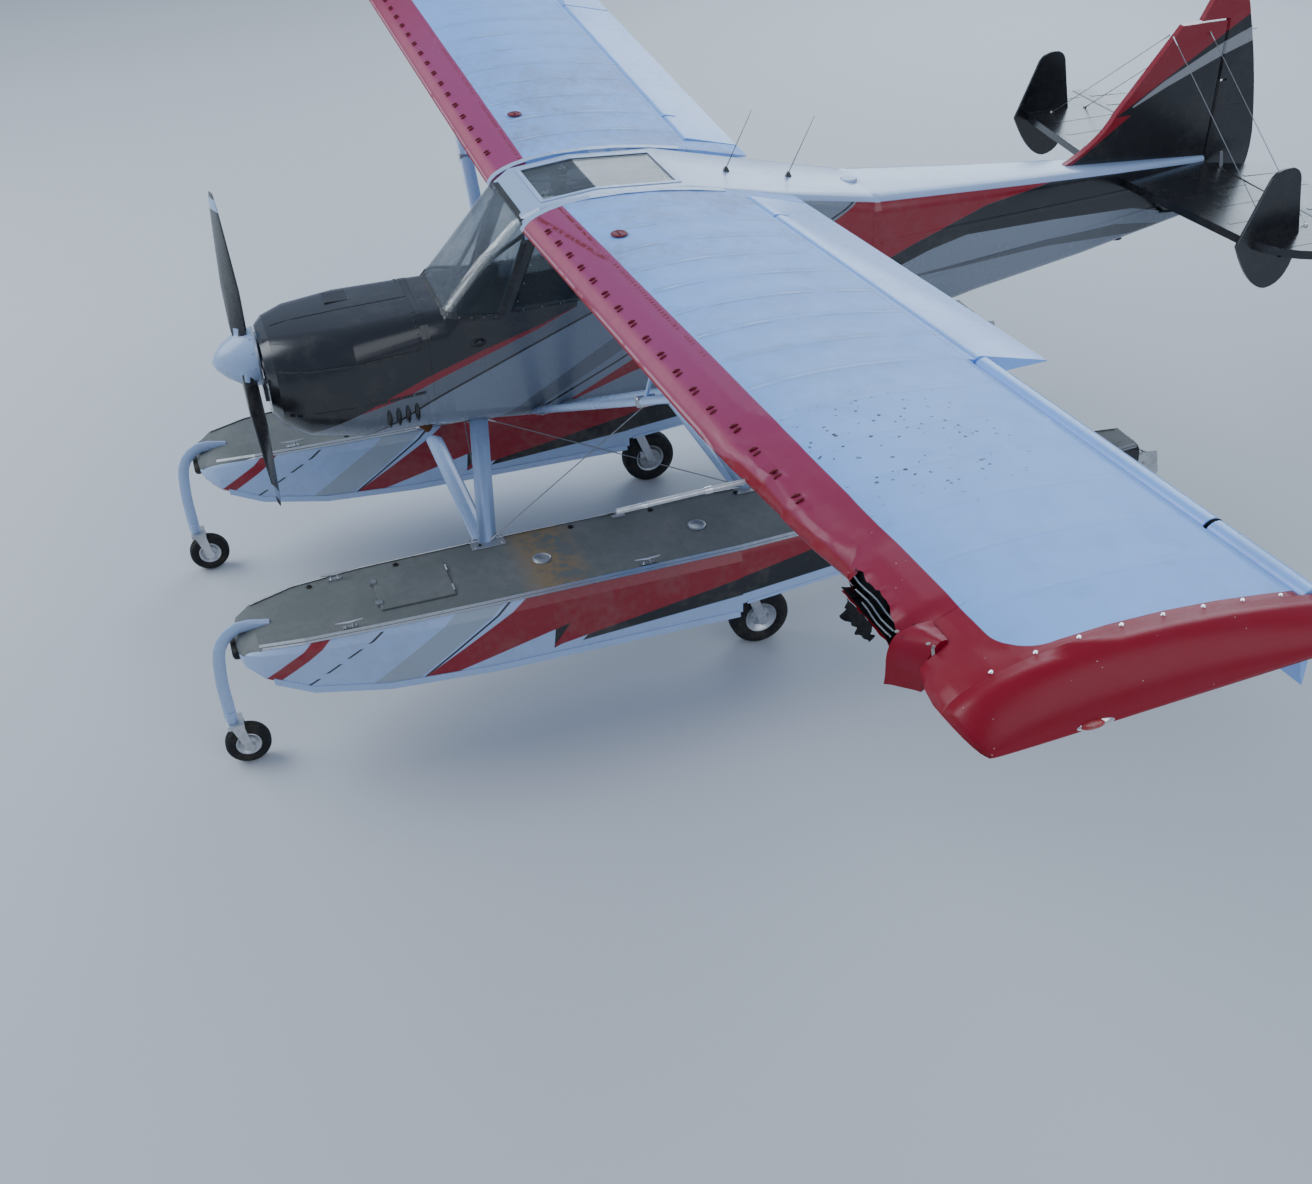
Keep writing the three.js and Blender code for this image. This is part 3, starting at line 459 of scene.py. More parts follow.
# Lines of the side's paint scheme, from the wing: (y, z) from nose to tail
SCHEME = {
    "black low": [(-1.6, -1.1), (-1.02, -0.9), (-0.264, -0.667), (0.068, -0.58), (0.3, -0.5), (0.34, 0.6)],
    "red low": [(-1.6, -1.1), (-1.02, -0.9), (-0.75, -0.865), (-0.27, -0.71), (0.068, -0.598), (0.3, -0.5),
                (0.34, 0.6)],
    "line 1": [(-1.2, -1.14), (-0.658, -0.939), (-0.307, -0.809), (0.338, -0.567), (0.44, -0.53), (0.5, 0.4)],
    "band top": [(-0.6, -1.3), (-0.09, -1.067), (0.449, -0.77), (1.62, -0.14)],
    "band low": [(-0.5, -1.34), (0.03, -1.092), (0.526, -0.841), (1.75, -0.2)],
    "line 2": [(-0.4, -1.31), (0.048, -1.096), (0.521, -0.889), (1.792, -0.286), (2.09, -0.14)],
    "wedge top": [(0.148, -1.121), (0.582, -0.918), (1.823, -0.305), (2.13, -0.14), (2.2, 0)],
    "wedge low": [(0.148, -1.121), (0.595, -0.986), (1.4, -0.79), (2.253, -0.588), (2.45, -0.52), (2.99, -0.362),
                  (3.55, -0.3), (3.8, -0.2)],
    "swoosh low": [(1.6, -0.742), (2, -0.7), (2.326, -0.651), (2.6, -0.575), (2.86, -0.53), (3.526, -0.562),
                   (4.16, -0.61), (4.72, -0.76)],
    "grey top": [(2.1, -0.78), (2.445, -0.722), (3.494, -0.689), (4.04, -0.695), (4.6, -0.79)],
    "grey low": [(2.1, -0.782), (2.445, -0.735), (3.5, -0.735), (4.19, -0.785), (4.6, -0.8)],
    "spine": [(1.3, -0.02), (1.7, -0.1), (2.2, -0.205), (3, -0.273), (3.8, -0.333), (4.7, -0.4)],
}


def side_finish(t):
    """The painted fuselage: black above, light grey below, with red, grey and black trim."""
    vector, _, y, z = t.from_wing()
    black, red, white, band = (colour_of(k) for k in ("black", "red", "white", "band"))
    over = {name: t.above(y, z, points) for name, points in SCHEME.items()}
    under = lambda name: t.inverse(over[name])
    aft = lambda place: t.beyond(y, place)
    ahead = lambda place: t.within(y, place)
    stripe = lambda name, width: t.both(t.above(y, t.add(z, width), SCHEME[name]), under(name))
    colour = t.paint_over(colour_of("side"), (
        (t.both(over["band low"], under("band top"), ahead(1.66)), band),
        (t.both(stripe("line 2", 0.012), ahead(2.09)), black),
        (t.both(over["wedge low"], under("wedge top"), aft(0.148)), red),
        (t.both(over["swoosh low"], under("wedge low"), aft(1.6)), black),
        (t.both(over["grey low"], under("grey top"), aft(2.1)), (0.09, 0.1, 0.12)),
        (t.both(over["line 1"], ahead(0.42)), band),
        (t.both(stripe("line 1", 0.014), ahead(0.42)), black),
        (t.both(over["red low"], ahead(0.3)), red),
        (t.both(over["black low"], ahead(0.3)), black),
        (t.both(over["spine"], aft(1.3)), white),
        (t.both(t.beyond(z, -0.06), aft(-0.1)), white)))
    return look(*worn(t, vector, colour, 0.3, 1.4, (0.2, 0.19, 0.17)))


def fin_finish(t):
    """Red above a slanting line, black below, with a light grey stripe and a grey band."""
    vector, _, y, z = t.from_wing()
    edge = t.side_of(y, z, (3.62, -0.345), (3.93, -0.155), 0.006)
    fillet = t.both(t.side_of(y, z, (3.56, -0.4), (3.97, -0.115), 0.006), t.within(z, -0.02), edge)
    stripe_low = t.above(y, z, [(4.1, 0.02), (4.35, 0.133), (4.721, 0.281), (4.86, 0.326), (5, 0.37)])
    stripe_top = t.above(y, z, [(4.1, 0.03), (4.312, 0.165), (4.676, 0.345), (4.813, 0.4), (5, 0.47)])
    colour = t.paint_over(colour_of("black"), (
        (t.both(stripe_low, t.inverse(stripe_top), t.beyond(y, 4.11)), (0.3, 0.31, 0.33)),
        (t.side_of(y, z, (4.009, -0.012), (4.771, 0.454)), colour_of("red")),
        (fillet, colour_of("red"))))
    return look(*worn(t, vector, colour, 0.22, 2, (0.2, 0.19, 0.17)))


def float_finish(t):
    """White sides with red and black lightning trim, and a rough grey deck."""
    vector, _, y, z = t.from_wing()
    black, red, white = colour_of("black"), colour_of("red"), colour_of("white")
    inside = lambda *corners, soft=0.004: t.polygon(y, z, list(corners), soft)
    dashes = t.over(t.fract(t.mul(z, 14)), 0.35)
    stern_low = t.above(y, z, [(-0.3, -2.08), (-0.26, -2.06), (0.757, -2), (1.5, -1.955), (2.17, -1.926), (3, -2.05),
                               (3.75, -2.2)])
    blades = t.most(inside((-1.17, -2.155), (-0.205, -1.6), (0.2, -1.6), (0.134, -1.84)),
                    inside((-0.26, -2.05), (0.1, -1.6), (2.3, -1.6), (2.06, -1.69)))
    grime = t.group("Grime", vector, 2.4, 0.8)
    colour = t.paint_over(white, (
        (inside((-1.72, -2.31), (-0.62, -1.6), (-0.36, -1.6), (-1.4, -2.31)), (0.34, 0.4, 0.47)),
        (inside((-1.385, -2.31), (-0.335, -1.6), (-0.315, -1.6), (-1.365, -2.31), soft=0.003), black),
        (t.both(inside((-1.785, -2.05), (-1, -1.6), (-0.98, -1.6), (-1.765, -2.05), soft=0.003), dashes), black),
        (inside((-1.93, -1.96), (-1.38, -1.58), (-1.28, -1.58), (-1.87, -1.99)), red),
        (t.both(stern_low, t.inverse(t.side_of(y, z, (-0.26, -2.1), (-0.2, -1.6)))), black),
        (inside((-0.26, -2.06), (0.134, -1.84), (-0.35, -2.3), (-0.9, -2.3)), white),
        (blades, red),
        (t.mul(grime[0], 0.3), (0.3, 0.27, 0.2))))
    stain = t.both(t.within(t.distance(0, y, 0, (0, -0.16, 0)), 0.16, 0.14), t.beyond(grime[1], 0.47, 0.1))
    deck = t.paint_over(colour_of("deck"), ((t.mul(stain, 0.7), (0.3, 0.17, 0.04)), (grime[0], (0.2, 0.2, 0.19))))
    edge = [(-1.96, -1.83), (-1.93, -1.77), (-1.84, -1.733), (-1.6, -1.709), (-1.2, -1.698), (2, -1.698), (3, -1.709),
            (3.7, -1.729), (3.8, -1.73)]
    top = t.above(y, z, edge, 0.002)
    grit = t.mul(t.mul(t.noise(vector, 420), top), 0.8)
    rough = t.fma(grime[0], 0.3, t.fma(top, 0.42, 0.3))
    return look(t.mix(top, colour, deck), rough, t.add(grit, grime[1]))


def plain_paint(name, dirt=0.3, scale=2):
    def build(t):
        vector = t.object_coordinates()
        colour, rough, height = worn(t, vector, colour_of(name), dirt, scale)
        scratch = t.group("Scratches", vector, 5, 0.12)
        return look(t.mix(scratch[0], colour, (0.5, 0.5, 0.5)), rough, height)
    return build


def metal(tone, rough_low=0.25, rough_high=0.5, grain=120):
    def build(t):
        vector = t.object_coordinates()
        grime = t.group("Grime", vector, 4, 0.8)
        colour = t.mix(t.mul(grime[0], 0.6), tone, (0.13, 0.12, 0.1))
        rough = t.node("MapRange", {0: grime[1], 1: 0.3, 2: 0.7, 3: rough_low, 4: rough_high}).outputs[0]
        return look(colour, rough, t.noise(vector, grain, 2), Metallic=t.fma(grime[0], -0.5, 1, clamp=True))
    return build


def dusty(clean, dust, rough, scale, amount=0.6, more=0.3, relief=None):
    """A plain look under dust. relief(t, vector) gives its height, which is the dust's own if left out."""
    def build(t):
        vector = t.object_coordinates()
        film = t.group("Grime", vector, scale, amount)
        height = relief(t, vector) if relief else film[1]
        return look(t.mix(film[0], clean, dust), t.fma(film[0], more, rough), height)
    return build


def woven(scale):
    return lambda t, vector: t.group("Weave", vector, scale)[0]


def grainy(t, vector):
    return t.node("TexVoronoi", {"Vector": vector, "Scale": 520}).outputs["Distance"]


def fibres(t, vector):
    return t.noise(vector, 380, 2)


def ridged(t, vector):
    return t.node("TexWave", {"Vector": vector, "Scale": 60}).outputs[1]


def seat_cloth(t):
    vector = t.object_coordinates()
    weave = t.group("Weave", vector, 2600)
    dust = t.group("Grime", vector, 6, 0.6)
    colour = t.mix(t.fma(weave[0], 0.12, 0.3, clamp=True), (0.022, 0.023, 0.028), (0.07, 0.072, 0.08))
    return look(t.mix(t.mul(dust[0], 0.5), colour, (0.13, 0.12, 0.11)), t.fma(dust[0], 0.1, 0.82), weave[0])


# Near black, darker than the black paint: painted shade for the torn inside of the bay, its ribs, the loose flap and
# the wing's torn faces.
def shaded_torn_cloth(t):
    vector = t.object_coordinates()
    # The dirt mask only varies the near-black painted shade between two tones.
    dirt = t.group("Grime", vector, 14, 1)
    weave = t.group("Weave", vector, 1500)
    return look(t.mix(dirt[0], (0.0015, 0.002, 0.003), (0.01, 0.011, 0.014)), 0.75, t.fma(weave[0], 0.1, dirt[1]))


def blade_paint(t):
    """Dark satin blades with a pale band near the tips."""
    vector, x, _, z = t.from_wing()
    reach = t.distance(x, 0, z, (0, 0, THRUST_Z))
    band = t.both(t.beyond(reach, 0.87, 0.002), t.within(reach, 0.935, 0.002))
    colour, rough, height = worn(t, vector, t.mix(band, (0.03, 0.032, 0.036), colour_of("white")), 0.5, 5)
    scratch = t.group("Scratches", vector, 11, 0.2)
    return look(t.mix(scratch[0], colour, (0.4, 0.4, 0.42)), rough, height)


def glazing(t):
    """Tinted clear plastic with a film of dried water and a few scratches, whose pale stretched streaks are partly
    painted reflection.
    """
    vector = t.object_coordinates()
    grime = t.group("Grime", vector, 3, 0.9)
    # Long stretched scratches, pale and less clear: real scratches, and also painted reflection streaks.
    stretched = t.node("Mapping", {"Vector": vector, "Scale": (1, 3, 0.6)}).outputs[0]
    film = t.most(t.mul(grime[0], 0.55), t.group("Scratches", stretched, 5, 1)[0])
    colour = t.mix(film, (0.2, 0.25, 0.28), (0.34, 0.39, 0.44))
    alpha = t.fma(film, 0.4, 0.4, clamp=True)
    return look(colour, t.fma(film, 0.3, 0.04), Alpha=alpha, Transmission_Weight=0.85, IOR=1.4)


def lens(tone):
    return dusty(tone, (0.3, 0.28, 0.25), 0.05, 30, 0.5, relief=ridged)


def finish_table():
    """Each finish: the library's slot for it, its look, its relief, and its coat, sheen or specular."""
    return {
        "wing fabric": ("white_fabric", wing_finish, (0.5, 0.0012), dict(coat=0.3, specular=0.28)),
        "side paint": ("white_paint", side_finish, (0.12, 0.002), dict(coat=0.55)),
        "fin paint": ("red_paint", fin_finish, (0.15, 0.002), dict(coat=0.5)),
        "float paint": ("float_paint", float_finish, (0.3, 0.0015), dict(coat=0.2)),
        "white paint": ("white_paint", plain_paint("white"), (0.1, 0.001), dict(coat=0.25)),
        "surface paint": ("white_paint", plain_paint("fabric"), (0.1, 0.001), dict(coat=0.35)),
        "black paint": ("black_paint", plain_paint("black", 0.25), (0.1, 0.001), dict(coat=0.5)),
        "red paint": ("red_paint", plain_paint("red", 0.2), (0.1, 0.001), dict(coat=0.6)),
        "grey paint": ("white_paint", plain_paint("band"), (0.1, 0.001), {}),
        "alloy": ("bare_alloy", metal((0.6, 0.61, 0.63)), (0.08, 0.0004), {}),
        "steel": ("bare_alloy", metal((0.42, 0.42, 0.43), 0.3, 0.6), (0.1, 0.0004), {}),
        "chrome": ("bare_alloy", metal((0.8, 0.81, 0.83), 0.06, 0.2), (0.02, 0.0002), {}),
        "rust": ("engine_metal", metal((0.2, 0.09, 0.04), 0.6, 0.9, 60), (0.4, 0.001), {}),
        "rubber": ("tyre_rubber", dusty((0.012, 0.012, 0.013), (0.09, 0.075, 0.05), 0.62, 9, 0.7, 0.2), (0.25, 0.001),
                   dict(specular=0.3)),
        "seat cloth": ("seat_cloth", seat_cloth, (0.4, 0.0006), dict(sheen=0.3)),
        "cabin plastic": ("panel_black", dusty((0.02, 0.021, 0.024), (0.1, 0.095, 0.085), 0.5, 5, 0.6, 0.2, grainy),
                          (0.3, 0.0003), {}),
        # Painted shade: near black for the inside of the torn bay.
        "torn cloth": ("panel_black", shaded_torn_cloth, (0.6, 0.002), dict(specular=0.2)),
        "glazing": ("clear_glazing", glazing, None, {}),
        "blade paint": ("black_paint", blade_paint, (0.1, 0.001), dict(coat=0.2)),
        "cabin lining": ("white_paint", dusty((0.05, 0.055, 0.062), (0.07, 0.068, 0.062), 0.65, 3, 0.6, 0.15, fibres),
                         (0.2, 0.0005), {}),
        "red lens": ("clear_glazing", lens((0.4, 0.01, 0.01)), (0.3, 0.0005), dict(coat=0.8)),
        "green lens": ("clear_glazing", lens((0.01, 0.25, 0.06)), (0.3, 0.0005), dict(coat=0.8)),
        "clear lens": ("clear_glazing", lens((0.6, 0.62, 0.64)), (0.3, 0.0005), dict(coat=0.8)),
        "webbing": ("seat_cloth", dusty((0.03, 0.031, 0.034), (0.12, 0.11, 0.1), 0.75, 9, 0.6, 0.1, woven(1900)),
                    (0.4, 0.0006), dict(sheen=0.2)),
        "dial": ("panel_black", dusty((0.008, 0.008, 0.01), (0.04, 0.04, 0.04), 0.15, 20), (0.05, 0.0002), {}),
        "marks": ("white_paint", dusty((0.7, 0.7, 0.68), (0.5, 0.48, 0.42), 0.5, 20), (0.05, 0.0002), {}),
        # Pale paint for the painted highlights on the buckled nose.
        "sealant": ("white_paint", dusty((0.42, 0.42, 0.38), (0.2, 0.18, 0.14), 0.6, 9), (0.3, 0.001), {}),
        "vane red": ("red_paint", dusty((0.17, 0.002, 0.014), (0.1, 0.002, 0.01), 0.45, 30), (0.1, 0.0004), {}),
    }


FINISHES, SLOTS = {}, {}


def build_finishes():
    for name, (slot, build, bump, extra) in finish_table().items():
        FINISHES[name] = finish(name, build, bump, **extra)
        SLOTS[name] = slot


# --- meshes -------------------------------------------------------------------------------


def copied(node, join=True):
    """A clean mesh from a solid: doubles merged and flat faces joined."""
    bm = bmesh.new()
    bm.from_mesh(frame["nodes"][node].data)
    bmesh.ops.remove_doubles(bm, verts=bm.verts, dist=3e-5)
    if join:
        bmesh.ops.dissolve_limit(bm, angle_limit=math.radians(0.6), verts=bm.verts, edges=bm.edges)
    return bm


def sliced(bm, axis, places):
    normal = {"x": X_AXIS, "y": Y_AXIS, "z": Z_AXIS}[axis]
    for place in places:
        geometry = bm.verts[:] + bm.edges[:] + bm.faces[:]
        bmesh.ops.bisect_plane(bm, geom=geometry, plane_co=normal * place, plane_no=normal, dist=2e-5)


def steps(first, last, pitch):
    count = max(1, round((last - first) / pitch))
    return [first + (last - first) * k / count for k in range(count + 1)]


def placed(name, data):
    thing = bpy.data.objects.new(name, data)
    bpy.context.scene.collection.objects.link(thing)
    return thing


def piece(name, bm, finishes, body="airframe", replaces=(), smooth=35, bevel=0):
    """A finished object from a bmesh."""
    if not replaces:
        bmesh.ops.recalc_face_normals(bm, faces=bm.faces)
    mesh = bpy.data.meshes.new(name)
    bm.to_mesh(mesh)
    bm.free()
    finishes = [finishes] if isinstance(finishes, str) else finishes
    for key in finishes:
        mesh.materials.append(FINISHES[key])
    mesh.shade_smooth()
    mesh.set_sharp_from_angle(angle=math.radians(smooth))
    thing = placed(name, mesh)
    if bevel:
        modifier = thing.modifiers.new("Edges", "BEVEL")
        modifier.width, modifier.segments, modifier.limit_method = bevel, 2, "ANGLE"
        modifier.angle_limit = math.radians(38)
    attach(thing, body)
    if replaces:
        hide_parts(*replaces)
    return thing


def dressed(node, finishes, shape=None, join=True, **settings):
    """The solid's own shape with a finer surface: shape(bm) may cut and press it."""
    bm = copied(node, join)
    if shape:
        shape(bm)
    return piece(node + "_skin", bm, finishes, body=frame["nodes"][node]["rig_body"], replaces=(node,), **settings)


def turned(direction):
    """A turn that takes +Z to the direction."""
    return direction.normalized().to_track_quat("Z", "Y").to_matrix().to_4x4()


def spot(place):
    """A place in the frame. A plain (x, y, z) is taken from the wing."""
    return place if isinstance(place, Vector) else at(*place)


class Mesh:
    """A bmesh in the making. Places are vectors in the frame, or (x, y, z) from the wing."""

    def __init__(self):
        self.bm = bmesh.new()

    def cone(self, middle, along, sides, radius, tip, depth):
        place = Matrix.Translation(middle) @ turned(along)
        sizes = dict(segments=sides, radius1=radius, radius2=tip, depth=depth)
        bmesh.ops.create_cone(self.bm, cap_ends=True, matrix=place, **sizes)

    def rod(self, start, end, radius, sides=10, tip=None):
        start, end = spot(start), spot(end)
        self.cone((start + end) / 2, end - start, sides, radius, radius if tip is None else tip, (end - start).length)

    def stud(self, place, out, radius=0.0045, height=0.002, sides=6):
        """A low round head with its outer face narrower, sunk a little into its seat."""
        self.cone(spot(place) + out * (height / 2 - 0.0004), out, sides, radius, radius * 0.62, height)

    def studs(self, path, pitch, out, *size):
        for place in along_path(path, pitch):
            self.stud(place, out, *size)

    def box(self, low, high):
        low, high = spot(low), spot(high)
        place = Matrix.Translation((low + high) / 2) @ Matrix.Diagonal((*(high - low), 1))
        return bmesh.ops.create_cube(self.bm, size=1, matrix=place)["verts"]

    def ball(self, centre, radius, squash=(1, 1, 1), detail=1):
        place = Matrix.Translation(spot(centre)) @ Matrix.Diagonal((*squash, 1))
        bmesh.ops.create_icosphere(self.bm, subdivisions=detail, radius=radius, matrix=place)

    def spun(self, profile, centre, axis, turns=32):
        """A ring or disc from a profile of (radius, along) spun about an axis."""
        centre = spot(centre)
        place = Matrix.Translation(centre) @ turned(axis)
        verts = [self.bm.verts.new(place @ vec(radius, 0, along)) for radius, along in profile]
        edges = [self.bm.edges.new(pair) for pair in zip(verts, verts[1:])]
        bmesh.ops.spin(self.bm, geom=verts + edges, cent=centre, axis=axis.normalized(), angle=math.tau, steps=turns,
                       use_merge=True)
        bmesh.ops.remove_doubles(self.bm, verts=self.bm.verts, dist=1e-5)

    def sweep(self, rings):
        """A closed bar through outlines that all have the same number of corners."""
        face = self.bm.faces.new([self.bm.verts.new(place) for place in rings[0]])
        for ring in rings[1:]:
            made = bmesh.ops.extrude_face_region(self.bm, geom=[face])["geom"]
            face = next(part for part in made if isinstance(part, bmesh.types.BMFace))
            for vert, place in zip(face.verts, ring):
                vert.co = place

    def ribbon(self, path, outs, width, thick):
        """A flat strip along a path, lying on whatever the path follows."""
        if isinstance(outs, Vector):
            outs = [outs] * len(path)
        rings = []
        for k, (place, out) in enumerate(zip(path, outs)):
            along = path[min(k + 1, len(path) - 1)] - path[max(k - 1, 0)]
            across = along.cross(out).normalized() * (width / 2)
            rings.append([place + across, place - across, place - across + out * thick, place + across + out * thick])
        self.sweep(rings)

    def hoop(self, centre, across, upward, radius_1, radius_2, thick, sides=32, around=6):
        """An oval ring of round bar."""
        normal = across.cross(upward)
        rings = []
        for k in range(sides + 1):
            turn = math.tau * k / sides
            out = across * math.cos(turn) + upward * math.sin(turn)
            middle = spot(centre) + across * (radius_1 * math.cos(turn)) + upward * (radius_2 * math.sin(turn))
            bar = [math.tau * j / around for j in range(around)]
            rings.append([middle + (out * math.cos(a) + normal * math.sin(a)) * thick for a in bar])
        self.sweep(rings)

    def piece(self, name, finishes, **settings):
        return piece(name, self.bm, finishes, **settings)


def tube_piece(name, route, radius, finishes, sides=4, **settings):
    """A bent tube along a smooth route."""
    curve = bpy.data.curves.new(name, "CURVE")
    curve.dimensions, curve.bevel_depth, curve.bevel_resolution, curve.use_fill_caps = "3D", radius, sides, True
    curve.resolution_u = 6
    spline = curve.splines.new("NURBS")
    spline.points.add(len(route) - 1)
    for point, place in zip(spline.points, route):
        point.co = (*spot(place), 1)
    spline.order_u, spline.use_endpoint_u = min(4, len(route)), True
    holder = bpy.data.objects.new(name, curve)
    mesh = bpy.data.meshes.new_from_object(holder)
    bm = bmesh.new()
    bm.from_mesh(mesh)
    bpy.data.objects.remove(holder)
    bpy.data.curves.remove(curve)
    bpy.data.meshes.remove(mesh)
    bmesh.ops.remove_doubles(bm, verts=bm.verts, dist=1e-5)
    return piece(name, bm, finishes, **settings)


def curved_plate(name, shape, across, along, thick, finishes, **settings):
    """A thin curved plate. shape(u, v) gives its places for u and v from 0 to 1."""
    bm = bmesh.new()
    bmesh.ops.create_grid(bm, x_segments=across, y_segments=along, size=0.5)
    for vert in bm.verts:
        vert.co = shape(vert.co.x + 0.5, vert.co.y + 0.5)
    bmesh.ops.solidify(bm, geom=bm.faces[:], thickness=thick)
    return piece(name, bm, finishes, **settings)


def along_path(path, pitch):
    """Places every pitch along a path."""
    places, left = [], pitch / 2
    for a, b in zip(path, path[1:]):
        reach = (b - a).length
        while left <= reach:
            places.append(a.lerp(b, left / reach))
            left += pitch
        left -= reach
    return places


# --- measures -----------------------------------------------------------------------------

# Fuselage sections from the wing: station, half width, top, low, top radius, low radius
SECTIONS = [
    (-1.48, 0.285, -0.51, -0.945, 0.2, 0.18), (-1.43, 0.35, -0.475, -1, 0.23, 0.2),
    (-1.3, 0.41, -0.455, -1.06, 0.22, 0.2), (-1, 0.43, -0.44, -1.11, 0.19, 0.18),
    (-0.6, 0.372, -0.43, -1.12, 0.15, 0.12), (-0.47, 0.368, -0.43, -1.135, 0.15, 0.115),
    (-0.25, 0.365, -0.19, -1.155, 0.17, 0.11), (-0.02, 0.36, 0.03, -1.18, 0.11, 0.1),
    (0.12, 0.36, 0.1, -1.185, 0.045, 0.1), (0.48, 0.36, 0.131, -1.19, 0.036, 0.1),
    (1, 0.36, 0.095, -1.185, 0.036, 0.1), (1.6, 0.352, -0.045, -1.16, 0.06, 0.1),
    (2.2, 0.318, -0.17, -1.07, 0.11, 0.1), (3, 0.235, -0.238, -0.95, 0.095, 0.08),
    (3.8, 0.15, -0.295, -0.865, 0.06, 0.055), (4.717, 0.044, -0.365, -0.74, 0.025, 0.025)]

# Float sections from the wing: station, half beam, deck, chine, keel, half width of the deck
BOW = [(-1.96, 0.07, -1.8, -1.815, -1.85, 0.05), (-1.93, 0.19, -1.755, -1.84, -1.93, 0.14),
       (-1.84, 0.265, -1.722, -1.895, -2.03, 0.215), (-1.6, 0.325, -1.7, -1.985, -2.15, 0.275),
       (-1.2, 0.355, -1.69, -2.055, -2.24, 0.305), (-0.6, 0.365, -1.69, -2.095, -2.29, 0.318),
       (0.9, 0.365, -1.69, -2.115, -2.31, 0.318)]
STERN = [(0.9, 0.358, -1.69, -2.06, -2.225, 0.318), (2, 0.305, -1.69, -1.995, -2.12, 0.265),
         (3, 0.232, -1.7, -1.92, -1.995, 0.195), (3.7, 0.15, -1.72, -1.865, -1.895, 0.118)]

# Height of the wing's upper side in hundredths of the chord, by fraction of the chord
WING_TOP = [(0, 3.5), (0.0125, 5.45), (0.03, 6.9), (0.06, 8.3), (0.1, 9.6), (0.16, 10.8), (0.24, 11.55), (0.34, 11.65),
            (0.46, 10.95), (0.58, 9.5), (0.7, 7.35), (0.82, 4.8), (0.92, 2.3), (1, 0.25)]
# The same for the underside
WING_LOW = [(0, 3.5), (0.0125, 1.93), (0.03, 1.3), (0.06, 0.8), (0.1, 0.42), (0.16, 0.12), (0.24, 0), (1, 0)]
# The left wing's crushed edge: station, how far the solid's nose is pushed aft and down, and how far it goes here
CRUSH = [(CRUSH_X, 0, 0, 0, 0), (3.42, 0.034, 0.022, 0.022, 0.016), (3.62, 0.062, 0.034, 0.04, 0.02),
         (3.84, 0.074, 0.016, 0.042, 0.014), (4.06, 0.112, 0.03, 0.06, 0.022), (4.3, 0.138, 0.008, 0.082, 0.012),
         (4.42, 0.12, 0, 0.076, 0.012), (4.79, 0.052, 0.024, 0.048, 0.024), (4.87, 0.066, 0.01, 0.062, 0.012),
         (4.98, 0.024, 0.014, 0.024, 0.014), (5.08, 0, 0, 0, 0)]


def between(rows, y):
    """A row of measures at station y."""
    y = min(max(y, rows[0][0]), rows[-1][0])
    for first, second in zip(rows, rows[1:]):
        if y <= second[0]:
            part = (y - first[0]) / (second[0] - first[0])
            return [a + (b - a) * part for a, b in zip(first, second)][1:]


def float_row(y, aft=False):
    return between(STERN if aft or y > 0.9 else BOW, y)


def skin_half(y, z):
    """Half width of the fuselage at station y and height z."""
    half, top, low, top_r, low_r = between(SECTIONS, y)
    if z > top - top_r:
        return half - top_r + math.sqrt(max(top_r ** 2 - (z - top + top_r) ** 2, 0))
    if z < low + low_r:
        return half - low_r + math.sqrt(max(low_r ** 2 - (low + low_r - z) ** 2, 0))
    return half


def on_skin(side, y, z, lift):
    return at(side * (skin_half(y, z) + lift), y, z)


def skin_top(y, x):
    half, top, _, top_r, _ = between(SECTIONS, y)
    past = max(abs(x) - (half - top_r), 0)
    return top - top_r + math.sqrt(max(top_r ** 2 - past ** 2, 0))


def depth_inside(place):
    """How far a place lies under the fuselage's outer skin."""
    x, y, z = place - ROOT
    half, top, low, top_r, low_r = between(SECTIONS, y)
    radius, edge = (top_r, top - z) if z > (top + low) / 2 else (low_r, z - low)
    past_x, past_z = abs(x) - (half - radius), radius - edge
    if past_x > 0 and past_z > 0:
        return radius - math.hypot(past_x, past_z)
    return min(half - abs(x), edge)


def ring_round(y, lift, per_corner=6):
    """Places and outward directions round the fuselage at station y, from the bottom up the left side and round."""
    half, top, low, top_r, low_r = between(SECTIONS, y)
    corners = ((half - low_r, low + low_r, low_r, 3), (half - top_r, top - top_r, top_r, 0),
               (-half + top_r, top - top_r, top_r, 1), (-half + low_r, low + low_r, low_r, 2))
    places, outs = [at(0, y, low - lift)], [-Z_AXIS]
    for x, z, radius, quarter in corners:
        for k in range(per_corner + 1):
            turn = (quarter + k / per_corner) * math.pi / 2
            out = vec(math.cos(turn), 0, math.sin(turn))
            places.append(at(x, y, z) + out * (radius + lift))
            outs.append(out)
    return places + [places[0]], outs + [outs[0]]


def section_height(table, fraction):
    return UNDERSIDE + between(table, fraction)[0] / 100 * CHORD


def wing_top(x, y):
    return section_height(WING_TOP, y / CHORD) + rise(x, y)


def on_nose(x, fraction, upper=True, deep=0):
    """A place on the left wing's crushed nose, or deep inside it, at a fraction of the chord."""
    back, down = between(CRUSH, x)[2:]
    soft = max(0, 1 - fraction / EASE)
    y = fraction * CHORD + back * soft + deep
    height = section_height(WING_TOP if upper else WING_LOW, fraction) - down * soft
    return at(x, y, height + (-0.5 if upper else 0.5) * deep + rise(x, y))


def eased_top(x, y):
    """Height of the left wing's upper side over its crushed nose."""
    back, down = between(CRUSH, x)[2:]
    fraction = unit((y - back) / (CHORD - back / EASE))
    return section_height(WING_TOP, fraction) - down * max(0, 1 - fraction / EASE) + rise(x, y)


